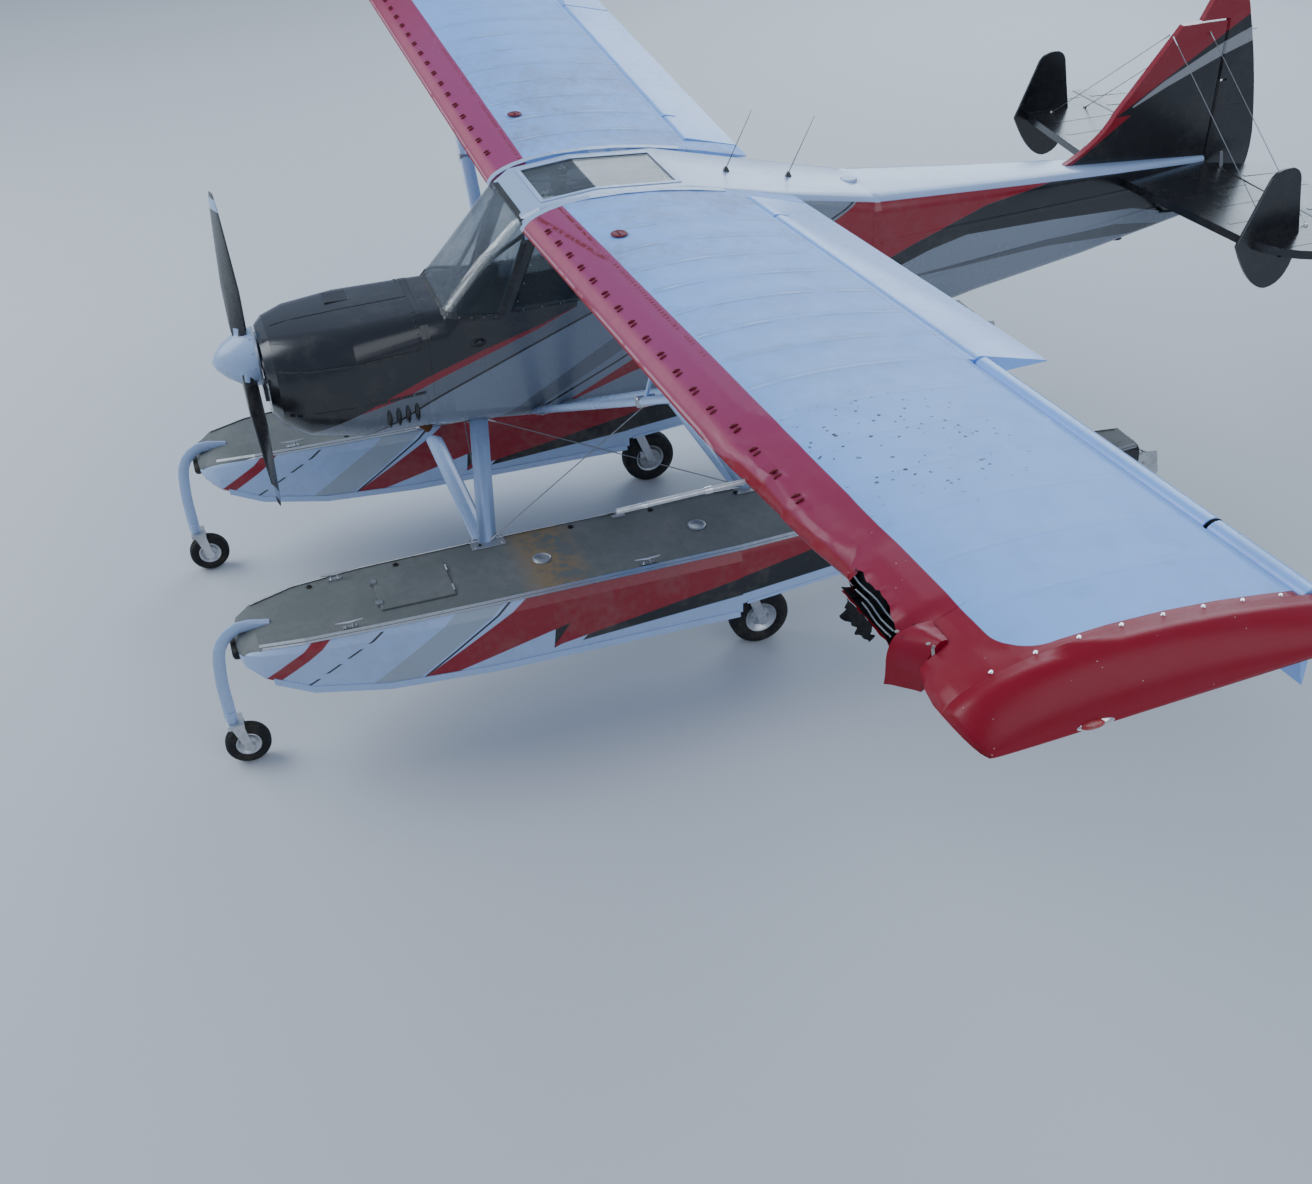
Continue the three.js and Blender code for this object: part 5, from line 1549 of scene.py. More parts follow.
def skylight_frame():
    """The frame round the skylight, with its screws."""
    frame_strips, screws = Mesh(), Mesh()
    half, ends = 0.262, (0.158, 0.962)
    for x in (-half, half):
        path = [at(x, y, roof_height(y) + 0.0008) for y in (0.146, 0.3, 0.48, 0.7, 0.974)]
        frame_strips.ribbon(path, Z_AXIS, 0.028, 0.004)
        for y in steps(0.16, 0.96, 0.08):
            screws.stud((x, y, roof_height(y) + 0.0045), Z_AXIS, 0.004)
    for y in ends:
        frame_strips.ribbon([at(x, y, roof_height(y) + 0.0012) for x in (-half, half)], Z_AXIS, 0.026, 0.004)
    frame_strips.piece("skylight_frame", "white paint", smooth=25)
    screws.piece("skylight_screws", "steel")


def aerials():
    """Aerials, a beacon and the cabin's air scoops."""
    whips, puck, base, beacon, scoops = Mesh(), Mesh(), Mesh(), Mesh(), Mesh()
    for y in (1.35, 1.75):
        foot = at(0, y, roof_height(y))
        whips.spun([(0, 0), (0.022, 0), (0.016, 0.012), (0.006, 0.03), (0, 0.03)], foot, Z_AXIS, 16)
        whips.rod(foot + vec(0, 0.004, 0.025), foot + vec(0, 0.16, 0.34), 0.0032, 8, 0.0015)
    whips.piece("whip_aerials", "black paint", smooth=60)
    disc = [(0, 0), (0.055, 0), (0.055, 0.006), (0.046, 0.016), (0, 0.02)]
    puck.spun(disc, (0, 2.15, roof_height(2.15) - 0.002), Z_AXIS, 28)
    puck.piece("aerial_puck", "white paint")
    base.spun([(0, 0), (0.038, 0), (0.038, 0.012), (0, 0.012)], (0, 2.6, -1), -Z_AXIS, 24)
    base.piece("beacon_base", "alloy")
    beacon.ball((0, 2.6, -1.014), 1, (0.032, 0.032, 0.034), 3)
    beacon.piece("beacon", "red lens")
    for side in SIGNS:
        place = on_skin(side, -0.3, -0.62, -0.002)
        scoops.hoop(place, Y_AXIS, Z_AXIS, 0.045, 0.026, 0.005, 24)
        scoops.ball(place + vec(side * 0.004, 0.01, 0), 1, (0.014, 0.036, 0.02), 2)
    scoops.piece("cabin_air_scoops", "black paint")


class FLOATPLANE_OT_fuselage(bpy.types.Operator):
    """Painted cabin, tail cone, doors, glass and their frames"""

    bl_idname = "floatplane.fuselage"
    bl_label = "Fuselage"

    def execute(self, context):
        dressed("cabin", ["side paint", "cabin lining"], shape=line_inside, smooth=26, bevel=0.003)
        dressed("tail_cone", "side paint", smooth=26, bevel=0.003)
        for node in ("door_lower", "door_upper"):
            dressed(node, ["side paint", "cabin lining"], shape=line_inside, smooth=26, bevel=0.002)
        for node in ("windshield", "window_left", "window_right_front", "window_right_rear", "skylight", "door_window"):
            dressed(node, "glazing", smooth=30)
        for build in (frames, windshield_seal, windshield_trim, fabric_lines, door_fittings, skylight_frame, aerials):
            build()
        return {"FINISHED"}


# --- engine -------------------------------------------------------------------------------


def line_cowl(bm):
    for face in bm.faces:
        if depth_inside(face.calc_center_median()) > 0.012 and abs(face.normal.y) < 0.9:
            face.material_index = 1


def paint_spinner(bm):
    for face in bm.faces:
        x, _, z = face.calc_center_median() - ROOT
        if math.hypot(x, z - THRUST_Z) < 0.168:
            face.material_index = 1


def cowl_seams():
    """Seams of the cowl with their fasteners, and the strip behind it."""
    seams, studs, strip = Mesh(), Mesh(), Mesh()
    size = (0.0075, 0.003, 8)
    for side in SIGNS:
        for z, first in ((-0.6, -1.42), (-0.86, -1.4)):
            path = [on_skin(side, y, z, 0.0006) for y in steps(first, -0.63, 0.07)]
            seams.ribbon(path, X_AXIS * side, 0.016, 0.0016)
            studs.studs([place + X_AXIS * side * 0.0018 for place in path], 0.075, X_AXIS * side, *size)
    places, outs = ring_round(-0.632, 0.0006)
    for place, out in zip(places[1:-1], outs[1:-1]):
        studs.stud(place, out, *size)
    path = [at(0, y, skin_top(y, 0) + 0.0006) for y in steps(-1.4, -0.62, 0.07)]
    seams.ribbon(path, Z_AXIS, 0.014, 0.0016)
    seams.piece("cowl_seams", "black paint", smooth=40)
    studs.piece("cowl_fasteners", "side paint")
    strip.ribbon(*ring_round(-0.575, 0.0008), 0.014, 0.002)
    strip.piece("cowl_rear_strip", "side paint", smooth=40)


def cowl_openings():
    """Rims of the intakes, the oil door and the louvres."""
    rims, door, louvres, intake = Mesh(), Mesh(), Mesh(), Mesh()
    for side in SIGNS:
        rims.hoop((side * 0.178, -1.479, THRUST_Z - 0.005), X_AXIS, Z_AXIS, 0.082, 0.056, 0.0075, 40)
    rims.hoop((0, -1.482, THRUST_Z), X_AXIS, Z_AXIS, 0.074, 0.074, 0.006, 40)
    rims.piece("intake_rims", "black paint", smooth=60)
    door.box((-0.24, -1.07, skin_top(-1, 0.22) - 0.006), (-0.1, -0.93, skin_top(-1, 0.17) + 0.004))
    door.piece("oil_door", "black paint", bevel=0.002)
    for side in SIGNS:
        for k in range(4):
            louvres.ball(on_skin(side, -0.86 + 0.055 * k, -0.97, 0.001), 1, (0.011, 0.016, 0.06), 2)
    louvres.piece("cowl_louvres", "black paint")
    intake.box((-0.07, -1.5, -0.9), (0.07, -1.4, -0.82))
    intake.hoop((0, -1.49, -0.86), X_AXIS, Z_AXIS, 0.06, 0.036, 0.007)
    intake.piece("carburettor_intake", "black paint", bevel=0.006)


def engine_block():
    """Crankcase and four finned cylinders, seen through the intakes, with their exhaust."""
    case, cylinders, risers = Mesh(), Mesh(), Mesh()
    rows = (-1.16, -0.92)
    case.box((-0.13, -1.3, -0.78), (0.13, -0.75, -0.57))
    case.box((-0.1, -0.75, -0.85), (0.1, -0.61, -0.64))
    case.piece("engine_case", "steel", replaces=("engine_block",), bevel=0.014)
    profile = [(0, 0)]
    for k in range(11):
        reach = 0.004 + 0.0145 * k
        profile += [(0.056, reach), (0.078, reach + 0.002), (0.078, reach + 0.005), (0.056, reach + 0.007)]
    profile += [(0.06, 0.175), (0, 0.18)]
    for side in SIGNS:
        for y in rows:
            cylinders.spun(profile, (side * 0.128, y - 0.03 * side, -0.69), X_AXIS * side, 24)
            risers.rod((side * 0.26, y, -0.76), (side * 0.2, y + 0.02, -0.93), 0.019, 12)
        risers.rod((side * 0.2, -1.2, -0.93), (side * 0.2, -0.8, -0.96), 0.027, 14)
    cylinders.piece("engine_cylinders", "alloy", smooth=30)
    risers.piece("exhaust_risers", "rust", smooth=50)
    pipe = ((0.15, -0.95, -0.98), (0.15, -0.8, -1), (0.14, -0.72, -1.06), (0.13, -0.66, -1.17), (0.13, -0.6, -1.23))
    for name, side in SIDES:
        route = [(side * x, y, z) for x, y, z in pipe]
        tube_piece("tailpipe_" + name, route, 0.03, "rust", sides=6, smooth=60)


class FLOATPLANE_OT_engine(bpy.types.Operator):
    """Cowl with its seams, intakes and exhaust, the engine inside it, and the propeller"""

    bl_idname = "floatplane.engine"
    bl_label = "Engine"

    def execute(self, context):
        dressed("engine_cowl", ["side paint", "cabin plastic"], shape=line_cowl, smooth=26, bevel=0.003)
        cowl_seams()
        cowl_openings()
        engine_block()
        dressed("propeller", ["blade paint", "white paint"], shape=paint_spinner, smooth=48)
        plate, screws = Mesh(), Mesh()
        profile = [(0.045, -0.004), (0.167, -0.004), (0.1685, 0.004), (0.045, 0.008)]
        plate.spun(profile, (0, -1.5, THRUST_Z), -Y_AXIS, 48)
        plate.piece("spinner_plate", "alloy", body="propeller")
        for k in range(12):
            turn = math.tau * k / 12
            out = vec(math.cos(turn), 0, math.sin(turn))
            screws.stud(at(0, -1.524, THRUST_Z) + out * 0.1645, out, 0.005, 0.003)
        screws.piece("spinner_screws", "steel", body="propeller")
        return {"FINISHED"}


# --- cabin --------------------------------------------------------------------------------


def gauges():
    """Dials with their rims and marks, and the units in the middle of the panel."""
    rims, faces, marks, units, screen = Mesh(), Mesh(), Mesh(), Mesh(), Mesh()
    panel_y = -0.4148
    dials = [(x, z, 0.038) for z in (-0.57, -0.66) for x in (-0.2, -0.11)]
    dials += [(0, -0.57, 0.03), (0, -0.645, 0.03), (0.26, -0.57, 0.024), (0.26, -0.63, 0.024), (-0.28, -0.6, 0.024)]
    for x, z, radius in dials:
        place = at(x, panel_y, z)
        rim = [(0, 0), (0.006, 0), (0.005, 0.007), (0, 0.008), (-0.002, 0.004)]
        rims.spun([(radius + wider, height) for wider, height in rim], place, Y_AXIS, 28)
        faces.spun([(0, 0.001), (radius, 0.001), (radius, 0.003), (0, 0.003)], place, Y_AXIS, 28)
        ahead = place + Y_AXIS * 0.0036
        for k in range(10):
            turn = math.radians(-130 + 29 * k)
            out = vec(math.sin(turn), 0, math.cos(turn)) * radius
            marks.rod(ahead + out * 0.72, ahead + out * 0.9, 0.0006, 4)
        lean = math.radians(-120 + (x * 977 + z * 311) % 230)
        ahead = place + Y_AXIS * 0.0042
        marks.rod(ahead, ahead + vec(math.sin(lean), 0, math.cos(lean)) * radius * 0.68, 0.0009, 4)
    rims.piece("gauge_rims", "cabin plastic", smooth=40)
    faces.piece("gauge_faces", "dial")
    marks.piece("gauge_marks", "marks")
    units.box((0.05, panel_y - 0.002, -0.68), (0.21, panel_y + 0.012, -0.53))
    for z in (-0.705, -0.74):
        units.box((0.05, panel_y - 0.002, z - 0.014), (0.21, panel_y + 0.008, z + 0.014))
    for k in range(7):
        x = -0.27 + 0.035 * k
        units.rod((x, panel_y, -0.745), (x, panel_y + 0.014, -0.74), 0.004, 8)
    units.piece("panel_units", "cabin plastic", bevel=0.0015)
    screen.box((0.062, panel_y + 0.0115, -0.665), (0.198, panel_y + 0.0135, -0.545))
    screen.piece("panel_screen", "dial")

    def shield(u, v):
        x = -0.33 + 0.66 * u
        return at(x, -0.452 + 0.085 * v, -0.468 - 0.09 * (2 * abs(u - 0.5)) ** 3 - 0.004 * v)
    curved_plate("glare_shield", shield, 20, 4, 0.004, "cabin plastic", smooth=50)


def controls():
    """Sticks, pedals, levers and the floor under them."""
    rods, grips, floor = Mesh(), Mesh(), Mesh()
    for y in (0.19, 1.02):
        rods.rod((0, y, -1.14), (0, y + 0.05, -0.78), 0.011, 12)
        grips.rod((0, y + 0.046, -0.8), (0, y + 0.036, -0.67), 0.018, 12, 0.014)
        grips.rod((0, y, -1.145), (0, y + 0.01, -1.08), 0.034, 12, 0.014)
    y = -0.33
    for x in (-0.2, -0.08, 0.08, 0.2):
        grips.box((x - 0.035, y - 0.004, -1.06), (x + 0.035, y + 0.004, -0.95))
        rods.rod((x, y, -1.13), (x, y - 0.004, -0.99), 0.008, 8)
    for y in (0.2, 1):
        rods.rod((0.31, y, -0.62), (0.31, y + 0.08, -0.55), 0.006, 8)
        grips.ball((0.31, y + 0.085, -0.545), 0.016, detail=2)
    rods.rod((0.305, 0.1, -0.62), (0.305, 1.1, -0.62), 0.004, 8)
    rods.piece("control_rods", "steel", smooth=50)
    grips.piece("control_grips", "cabin plastic", smooth=50, bevel=0.001)
    floor.box((-0.3, -0.4, -1.149), (0.3, 1.9, -1.143))
    for x in (-0.12, 0.12):
        floor.box((x - 0.014, 0.2, -1.143), (x + 0.014, 1.7, -1.131))
    floor.piece("cabin_floor", "alloy", bevel=0.002)


def seat_frame(node, y):
    mesh = Mesh()
    radius = 0.0125
    for x in (-0.19, 0.19):
        for start, end in (((0.01, -1.13), (-0.02, -0.9)), ((0.36, -1.13), (0.38, -0.88)),
                           ((-0.03, -0.905), (0.39, -0.9)), ((0.385, -0.9), (0.465, -0.4))):
            mesh.rod((x, y + start[0], start[1]), (x, y + end[0], end[1]), radius, 12)
    for cy, cz in ((y - 0.02, -0.905), (y + 0.385, -0.9), (y + 0.465, -0.4), (y + 0.42, -0.66)):
        mesh.rod((-0.19, cy, cz), (0.19, cy, cz), radius, 12)
    mesh.box((-0.185, y - 0.02, -0.903), (0.185, y + 0.37, -0.897))
    mesh.piece(node + "_frame", "cabin plastic", replaces=(node,), smooth=45)


def cushions(node, y):
    """Seat and back pads, filled by a short cloth simulation."""
    seat, back = Mesh(), Mesh()
    seat.box((-0.2, y - 0.022, -0.893), (0.2, y + 0.322, -0.848))
    pad(node + "_cushion", seat, at(0, y + 0.15, -0.87))
    for vert in back.box((-0.19, y + 0.362, -0.82), (0.19, y + 0.402, -0.385)):
        vert.co.y += (vert.co.z - ROOT.z + 0.84) * 0.155
    pad(node + "_back", back, at(0, y + 0.39, -0.6))


def pad(name, mesh, centre):
    bm = mesh.bm
    bmesh.ops.subdivide_edges(bm, edges=bm.edges[:], cuts=3, use_grid_fill=True)
    for vert in bm.verts:
        x = abs(vert.co.x - centre.x) / 0.2
        if not 0.2 < x < 0.9:
            vert.co.x = centre.x + (vert.co.x - centre.x) * (0.975 if x >= 0.9 else 1)
    thing = mesh.piece(name, "seat cloth", smooth=60)
    remesh = thing.modifiers.new("Voxels", "REMESH")
    remesh.mode, remesh.voxel_size = "VOXEL", 0.0055
    settle(thing)
    fill(thing)
    channels(thing, centre)
    smooth = thing.modifiers.new("Smooth", "SUBSURF")
    smooth.levels = smooth.render_levels = 1
    thing.data.shade_smooth()


def fill(thing):
    """Swells a pad by pressure, no point farther than the cap."""
    scene = bpy.context.scene
    last, cap = setting("cushion", "frames"), setting("cushion", "cap")
    start = [vert.co.copy() for vert in thing.data.vertices]
    cloth = thing.modifiers.new("Fill", "CLOTH")
    cloth.settings.use_pressure, cloth.settings.uniform_pressure_force = True, setting("cushion", "pressure")
    cloth.settings.effector_weights.gravity = 0
    cloth.settings.quality = 4
    cloth.point_cache.frame_start, cloth.point_cache.frame_end = 1, last
    for number in range(1, last + 1):
        scene.frame_set(number)
    settle(thing)
    scene.frame_set(1)
    for vert, place in zip(thing.data.vertices, start):
        move = vert.co - place
        if move.length > cap:
            vert.co = place + move * (cap / move.length)


def settle(thing):
    """The mesh as its modifiers leave it."""
    graph = bpy.context.evaluated_depsgraph_get()
    mesh = bpy.data.meshes.new_from_object(thing.evaluated_get(graph))
    old = thing.data
    thing.modifiers.clear()
    thing.data = mesh
    mesh.name = thing.name
    if not mesh.materials:
        mesh.materials.append(FINISHES["seat cloth"])
    bpy.data.meshes.remove(old)


def channels(thing, centre):
    """Sewn channels across the middle of a pad."""
    for vert in thing.data.vertices:
        across = vert.co.x - centre.x
        for seam in (-0.1, 0, 0.1):
            near = max(0, 1 - abs(across - seam) / 0.011)
            vert.co += (centre - vert.co) * (0.06 * near * near * (3 - 2 * near))


def belts(node, y):
    """A lap belt and two shoulder belts with their buckle."""
    straps, buckle = Mesh(), Mesh()
    width, thick = 0.044, 0.0022
    over, lean = vec(0, -0.5, 0.85).normalized(), vec(0, -0.98, 0.16).normalized()
    for side in SIGNS:
        lap = ((0.205, 0.33, -0.9), (0.205, 0.27, -0.83), (0.13, 0.22, -0.826), (0.03, 0.19, -0.826))
        chest = ((0.075, 0.465, -0.36), (0.075, 0.43, -0.352), (0.075, 0.404, -0.39), (0.07, 0.372, -0.58),
                 (0.05, 0.34, -0.76), (0.03, 0.28, -0.822))
        lap_outs = [vec(side, 0, 0.2).normalized(), vec(side, 0, 0.6).normalized(), Z_AXIS, Z_AXIS]
        for path, outs in ((lap, lap_outs), (chest, [Z_AXIS, over, lean, lean, lean, over])):
            straps.ribbon([at(side * x, y + dy, z) for x, dy, z in path], outs, width, thick)
    buckle.box((-0.032, y + 0.155, -0.826), (0.032, y + 0.215, -0.812))
    straps.piece(node + "_belts", "webbing", smooth=40)
    buckle.piece(node + "_buckle", "chrome", bevel=0.004)


class FLOATPLANE_OT_cabin(bpy.types.Operator):
    """Instrument panel, controls, floor and seats"""

    bl_idname = "floatplane.cabin"
    bl_label = "Cabin"

    def execute(self, context):
        dressed("instrument_panel", "cabin plastic", bevel=0.002)
        gauges()
        controls()
        for node, y in (("seat_front", 0.33), ("seat_rear", 1.13)):
            seat_frame(node, y)
            cushions(node, y)
            belts(node, y)
        return {"FINISHED"}


# --- tail ---------------------------------------------------------------------------------

TAILPLANE_Z = -0.42


def tail_ribs(name, side):
    """Rib tapes on the tailplane and on the elevator."""
    for kind, body, first_half, last_half, rows in (
            ("tailplane", "airframe", 0.026, 0.026, [(x, 4.1 + 0.1 * x, 4.7) for x in (0.25, 0.5, 0.75, 1, 1.42)]),
            ("elevator", "elevator", 0.021, 0.0045, [(x, 4.79, 5.09) for x in (0.36, 0.6, 0.98, 1.2, 1.42)])):
        tapes = Mesh()
        for x, first, last in rows:
            for sign in SIGNS:
                path = [at(side * x, y, TAILPLANE_Z + sign * (half - 0.0012))
                        for y, half in ((first, first_half), (last, last_half))]
                tapes.ribbon(path, up(sign), 0.022, 0.0028)
        tapes.piece(kind + "_ribs_" + name, "black paint", body=body, smooth=40)


def horns(name, side):
    """Horns that take the control cables, and anchors for the tail's wires."""
    elevator, rudder, anchors = Mesh(), Mesh(), Mesh()
    half = 0.002
    outline = ((4.757, 0.012), (4.787, 0.012), (4.761, 0.12), (4.743, 0.12))
    for sign in SIGNS:
        elevator.sweep([[at(side * 0.15 + w, y, TAILPLANE_Z + sign * dz) for y, dz in outline] for w in (-half, half)])
    elevator.piece("elevator_horn_" + name, "alloy", body="elevator", bevel=0.001)
    outline = ((0, 4.78), (0, 4.74), (0.13, 4.735), (0.13, 4.755))
    rudder.sweep([[at(side * x, y, -0.63 + w) for x, y in outline] for w in (-half, half)])
    rudder.piece("rudder_horn_" + name, "alloy", body="rudder", bevel=0.001)
    for y in (4.33, 4.6):
        for sign in SIGNS:
            anchors.stud((side * 1.2, y, TAILPLANE_Z + sign * 0.026), up(sign), 0.014, 0.012, 8)
    anchors.piece("tail_wire_anchors_" + name, "steel")


class FLOATPLANE_OT_tail(bpy.types.Operator):
    """Fin, rudder, tailplane and elevators, with their rib tapes, horns, wire anchors and the tail strobe"""

    bl_idname = "floatplane.tail"
    bl_label = "Tail"

    def execute(self, context):
        dressed("fin", "fin paint", smooth=40, bevel=0.012)
        dressed("rudder", "fin paint", smooth=40, bevel=0.01)
        for name, side in SIDES:
            dressed("stabilizer_" + name, "black paint", smooth=40, bevel=0.006)
            dressed("elevator_" + name, "black paint", smooth=40, bevel=0.004)
            tail_ribs(name, side)
            horns(name, side)
        ribs, strobe = Mesh(), Mesh()
        for z in (-0.55, -0.3, -0.05, 0.2, 0.42):
            for side in SIGNS:
                x = side * 0.0205
                ribs.rod((x, 4.79, z), (x, 5 - 0.12 * abs(z), z), 0.0035, 6)
        ribs.piece("rudder_ribs", "fin paint", body="rudder", smooth=60)
        strobe.ball((0, 4.72, 0.7), 1, (0.016, 0.03, 0.018), 2)
        strobe.piece("tail_strobe", "clear lens", body="rudder")
        return {"FINISHED"}


# --- floats -------------------------------------------------------------------------------

# Columns of a row that float_row() gives
BEAM, DECK, CHINE, KEEL, DECK_HALF = range(5)
# Stations of a float's lines, each with whether it lies behind the step
FORE = [(y, False) for y in (-1.84, -1.6, -1.2, -0.6, 0.9)]


def stern(*places):
    return [(y, True) for y in places]


def float_lines(side, column, level, stations, lift=0.0, drop=0.0):
    """Two mirrored lines along a float, with their sign: out by one column, up by another."""
    for sign in SIGNS:
        rows = [(y, float_row(y, aft)) for y, aft in stations]
        yield sign, [at(side * FLOAT_X + sign * (row[column] + lift), y, row[level] + drop) for y, row in rows]


def rivets(name, side):
    pitch, radius = setting("float", "rivet_pitch"), setting("float", "rivet_radius")
    size = (radius, 0.0018)
    heads = Mesh()
    for _, path in float_lines(side, DECK_HALF, DECK, FORE + stern(2, 3, 3.66), -0.018, 0.0002):
        heads.studs(path, pitch, Z_AXIS, *size)
    for stations, drop in ((FORE, 0.022), (stern(0.93, 2, 3, 3.66), 0.02)):
        for sign, path in float_lines(side, BEAM, CHINE, stations, 0.0004, drop):
            heads.studs(path, pitch, X_AXIS * sign, *size)
    for y in (-1.45, -0.95, -0.45, 0.1, 0.6, 1.35, 1.85, 2.4, 2.9, 3.35):
        row = float_row(y)
        shoulder = row[DECK] - 0.16 * (row[DECK] - row[CHINE])
        heights = (row[CHINE] + 0.04, (shoulder + row[CHINE]) / 2)
        for sign in SIGNS:
            path = [at(side * FLOAT_X + sign * (row[BEAM] + 0.0004), y, z) for z in heights]
            heads.studs(path, pitch * 0.9, X_AXIS * sign, *size)
        half = row[DECK_HALF] - 0.03
        heads.studs([at(side * FLOAT_X + x, y, row[DECK] + 0.0002) for x in (-half, half)], pitch, Z_AXIS, *size)
    heads.piece("float_rivets_" + name, "float paint", smooth=20)


def rails(name, side):
    """Keel strip, chine rails, deck edge strips and the rubber bumper."""
    keel, chines, edges, bumper = Mesh(), Mesh(), Mesh(), Mesh()
    for aft, stations in ((False, (-1.9, -1.84, -1.6, -1.2, -0.6, 0.88)), (True, (1.42, 2, 3, 3.68))):
        path = [at(side * FLOAT_X, y, float_row(y, aft)[KEEL] - 0.004) for y in stations]
        keel.ribbon(path, -Z_AXIS, 0.034, 0.012)
    keel.piece("keel_strip_" + name, "alloy", smooth=30, bevel=0.003)
    spray = ((-0.012, 0.014), (0.006, 0.014), (0.02, -0.018), (0.012, -0.024), (-0.014, -0.004))
    plain = ((-0.01, 0.01), (0.005, 0.01), (0.009, -0.008), (-0.01, -0.004))
    bow = [(y, False) for y in (-1.8, -1.6, -1.2, -0.6, 0.88)]
    for stations, outline in ((bow, spray), (stern(0.93, 2, 3, 3.68), plain)):
        for sign, path in float_lines(side, BEAM, CHINE, stations):
            chines.sweep([[place + vec(sign * a, 0, b) for a, b in outline] for place in path])
    chines.piece("chine_rails_" + name, "white paint", smooth=30, bevel=0.002)
    for sign, path in float_lines(side, DECK_HALF, DECK, FORE + stern(2, 3, 3.68), -0.004, -0.003):
        edges.ribbon(path, vec(sign * 0.55, 0, 0.83).normalized(), 0.034, 0.0035)
    edges.piece("deck_edges_" + name, "alloy", smooth=35)
    bumper.box((side * FLOAT_X - 0.11, -1.985, -1.852), (side * FLOAT_X + 0.11, -1.92, -1.792))
    bumper.piece("bow_bumper_" + name, "rubber", bevel=0.022)


def deck_gear(name, side):
    """Cleats, locker lids, hatches, pump plugs and the cable to the water rudder."""
    cleats, lids, metal_parts, plugs, cable = Mesh(), Mesh(), Mesh(), Mesh(), Mesh()
    middle = side * FLOAT_X
    for y in (-1.35, 0.35, 2.7):
        row = float_row(y)
        for sign in SIGNS:
            base = at(middle + sign * (row[DECK_HALF] - 0.05), y, row[DECK])
            cleats.box(base + vec(-0.014, -0.04, 0), base + vec(0.014, 0.04, 0.005))
            for dy in (-0.02, 0.02):
                cleats.rod(base + vec(0, dy, 0.002), base + vec(0, dy, 0.03), 0.006, 8)
            for dy in (0.075, -0.075):
                cleats.rod(base + up(0.032), base + vec(0, dy, 0.038), 0.0085, tip=0.004)
    cleats.piece("cleats_" + name, "alloy", smooth=45)
    for y, half_x, half_y in ((-0.95, 0.17, 0.21), (1.75, 0.14, 0.19)):
        z = float_row(y)[DECK]
        lids.box((middle - half_x, y - half_y, z - 0.002), (middle + half_x, y + half_y, z + 0.012))
        for part in (-0.6, 0.6):
            x = middle + part * half_x
            metal_parts.box((x - 0.018, y - half_y - 0.02, z), (x + 0.018, y - half_y + 0.02, z + 0.018))
            metal_parts.rod((x - 0.03, y + half_y, z + 0.01), (x + 0.03, y + half_y, z + 0.01), 0.006, 8)
    lids.piece("locker_lids_" + name, "float paint", bevel=0.005)
    hatch = [(0, 0), (0.055, 0), (0.055, 0.004), (0.046, 0.008), (0.04, 0.005), (0, 0.006)]
    for y in (-0.2, 0.75, 2.4, 3.15):
        metal_parts.spun(hatch, (middle, y, float_row(y)[DECK]), Z_AXIS, 24)
    metal_parts.piece("deck_fittings_" + name, "alloy", smooth=35)
    for y in (-1.5, -1, -0.5, 0.05, 0.55, 1.1, 1.45, 2, 2.55, 3.05, 3.45):
        row = float_row(y)
        place = at(middle - side * (row[DECK_HALF] - 0.06), y, row[DECK])
        plugs.spun([(0, 0), (0.018, 0), (0.016, 0.004), (0, 0.004)], place, Z_AXIS, 14)
        plugs.ball(place + up(0.006), 0.011)
    plugs.piece("pump_plugs_" + name, "rubber")

    def on_deck(out, y, lift):
        return at(middle + side * out, y, float_row(y)[DECK] + lift)
    for y in (1.55, 2.2):
        cable.rod(on_deck(0.1, y, 0.004), on_deck(0.1, y, 0.022), 0.012)
    for first, last in ((1.45, 2.2), (2.2, 3.6)):
        cable.rod(on_deck(0.1, first, 0.018), on_deck(0.08, last, 0.018), 0.0024, 6)
    cable.piece("rudder_cable_" + name, "steel", smooth=50)


def rudder_gear(name, side):
    """The water rudder's horn, hinges and bolts."""
    mesh = Mesh()
    x, pin_y = side * FLOAT_X, 3.737
    centre = at(x, pin_y, -1.8)
    mesh.ribbon([centre + vec(dx, 0.008 + 0.42 * abs(dx), -0.004) for dx in (-0.105, 0, 0.105)], Z_AXIS, 0.022, 0.008)
    for z in (-1.87, -2.03):
        mesh.rod((x, pin_y, z - 0.018), (x, pin_y, z + 0.018), 0.02, 14)
        mesh.box((x - 0.009, 3.74, z - 0.014), (x + 0.009, 3.84, z + 0.014))
    for y, z in ((3.79, -1.87), (3.79, -2.03), (3.86, -1.95)):
        mesh.rod((x - 0.013, y, z), (x + 0.013, y, z), 0.007, 8)
    mesh.piece("water_rudder_fittings_" + name, "steel", body="water_rudder_" + name, bevel=0.001)


class FLOATPLANE_OT_floats(bpy.types.Operator):
    """Floats with their rivets, keels, cleats, hatches and water rudders"""

    bl_idname = "floatplane.floats"
    bl_label = "Floats"

    def execute(self, context):
        for name, side in SIDES:
            dressed("float_" + name, "float paint", smooth=22, bevel=0.003)
            dressed("water_rudder_" + name, "alloy", smooth=40, bevel=0.002)
            for build in (rivets, rails, deck_gear, rudder_gear):
                build(name, side)
        return {"FINISHED"}


# --- wheels -------------------------------------------------------------------------------


def other_half(profile):
    """A wheel's profile mirrored, so that it goes on from the middle."""
    return [(radius, -along) for radius, along in reversed(profile)]


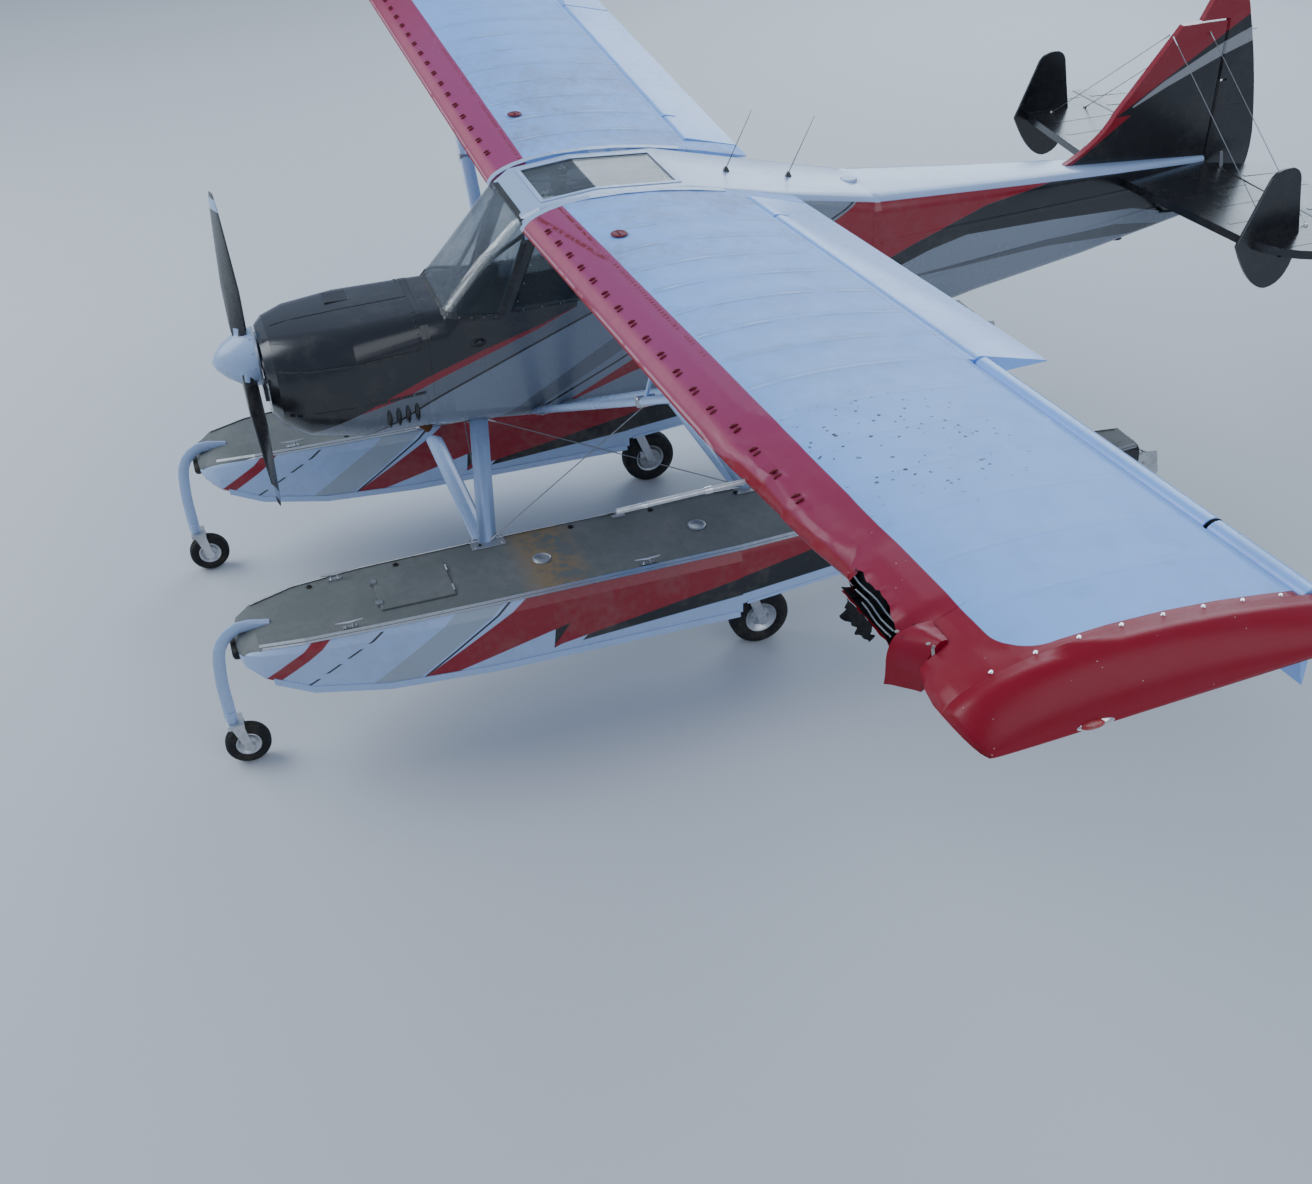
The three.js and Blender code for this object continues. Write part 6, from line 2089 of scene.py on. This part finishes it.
def wheel(node, side, radius, y, half, hub):
    """A grooved tyre of the given radius and half width, and a hub whose bearing reaches out to hub."""
    body = frame["nodes"][node]["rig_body"]
    centre = at(side * FLOAT_X, y, GROUND_Z + radius)
    rim = radius * 0.5
    profile = [(rim + 0.004, half * 0.66), (rim + 0.012, half * 0.8)]
    wall = ((0.66, 0.99), (0.8, 1), (0.9, 0.93), (0.962, 0.74), (0.985, 0.55), (0.993, 0.45))
    profile += [(radius * r, half * a) for r, a in wall]
    for share in (0.34, 0.02):
        groove = ((0.995, 0.1), (0.966, 0.07), (0.966, 0.01), (0.998, -0.02))
        profile += [(radius * r, half * (share + a)) for r, a in groove]
    tyre, dish = Mesh(), Mesh()
    ring = profile + other_half(profile[:-1])
    tyre.spun(ring + ring[:1], centre, X_AXIS, 56)
    tyre.piece(node + "_tyre", "rubber", body=body, replaces=(node,), smooth=40)
    profile = [(0, hub * 0.99), (0.021, hub * 0.99), (0.023, half * 0.8), (0.03, half * 0.62)]
    profile += [(rim * r, half * a) for r, a in ((0.66, 0.5), (0.84, 0.62), (0.94, 0.8))]
    profile += [(rim + r, half * a) for r, a in ((0.006, 0.86), (0.009, 0.8), (0.002, 0.66), (-0.004, 0.5))]
    dish.spun(profile + other_half(profile), centre, X_AXIS, 40)
    for sign in SIGNS:
        for k in range(6):
            turn = math.tau * k / 6
            place = centre + vec(sign * half * 0.56, rim * 0.55 * math.cos(turn), rim * 0.55 * math.sin(turn))
            dish.stud(place, X_AXIS * sign, radius * 0.032, radius * 0.05)
    dish.piece(node + "_hub", "alloy", body=body, smooth=35)


def brake(name, side):
    disc, caliper = Mesh(), Mesh()
    centre = at(side * FLOAT_X, 1.15, -2.44)
    profile = [(0.03, 0), (0.078, 0), (0.078, 0.005), (0.03, 0.005)]
    disc.spun(profile, centre - X_AXIS * side * 0.058, X_AXIS * -side, 36)
    disc.piece("brake_disc_" + name, "steel", body="main_wheel_" + name, smooth=30)
    middle = centre + vec(-side * 0.0715, -0.05, 0.052)
    caliper.box(middle + vec(-0.006, -0.03, -0.022), middle + vec(0.006, 0.03, 0.03))
    caliper.piece("brake_caliper_" + name, "alloy", bevel=0.003)


class FLOATPLANE_OT_wheels(bpy.types.Operator):
    """Tyres, hubs, brakes and the legs that hold them"""

    bl_idname = "floatplane.wheels"
    bl_label = "Wheels"

    def execute(self, context):
        for name, side in SIDES:
            for kind, look_of in (("nose_leg_", "white paint"), ("nose_fork_", "alloy"), ("main_leg_", "alloy")):
                dressed(kind + name, look_of, smooth=40, bevel=0.003)
            wheel("main_wheel_" + name, side, 0.19, 1.15, 0.065, 0.0777)
            wheel("nose_wheel_" + name, side, 0.13, -2.01, 0.038, 0.0507)
            brake(name, side)
        return {"FINISHED"}


OPERATORS = (FLOATPLANE_OT_stage, FLOATPLANE_OT_wings, FLOATPLANE_OT_crush, FLOATPLANE_OT_surfaces,
             FLOATPLANE_OT_struts, FLOATPLANE_OT_fuselage, FLOATPLANE_OT_engine, FLOATPLANE_OT_cabin,
             FLOATPLANE_OT_tail, FLOATPLANE_OT_floats, FLOATPLANE_OT_wheels)
SETTINGS = (("floatplane_paint", PaintSettings), ("floatplane_wing", WingSettings), ("floatplane_float", FloatSettings),
            ("floatplane_cushion", CushionSettings))


class FLOATPLANE_PT_panel(bpy.types.Panel):
    """Sizes, colours and the pieces that they shape"""

    bl_idname = "FLOATPLANE_PT_panel"
    bl_label = "Floatplane"
    bl_space_type = "VIEW_3D"
    bl_region_type = "UI"
    bl_category = "Floatplane"

    def draw(self, context):
        for name, group in SETTINGS:
            box = self.layout.box()
            for key in group.__annotations__:
                box.prop(getattr(context.scene, name), key)
        for operator in OPERATORS:
            self.layout.operator(operator.bl_idname)


def register():
    for name, group in SETTINGS:
        bpy.utils.register_class(group)
        setattr(bpy.types.Scene, name, PointerProperty(type=group))
    for cls in OPERATORS + (FLOATPLANE_PT_panel,):
        bpy.utils.register_class(cls)


def unregister():
    for cls in reversed(OPERATORS + (FLOATPLANE_PT_panel,)):
        bpy.utils.unregister_class(cls)
    for name, group in reversed(SETTINGS):
        delattr(bpy.types.Scene, name)
        bpy.utils.unregister_class(group)


def main():
    register()
    build_groups()
    build_finishes()
    for operator in OPERATORS:
        group, name = operator.bl_idname.split(".")
        getattr(getattr(bpy.ops, group), name)()


if __name__ == "__main__":
    main()
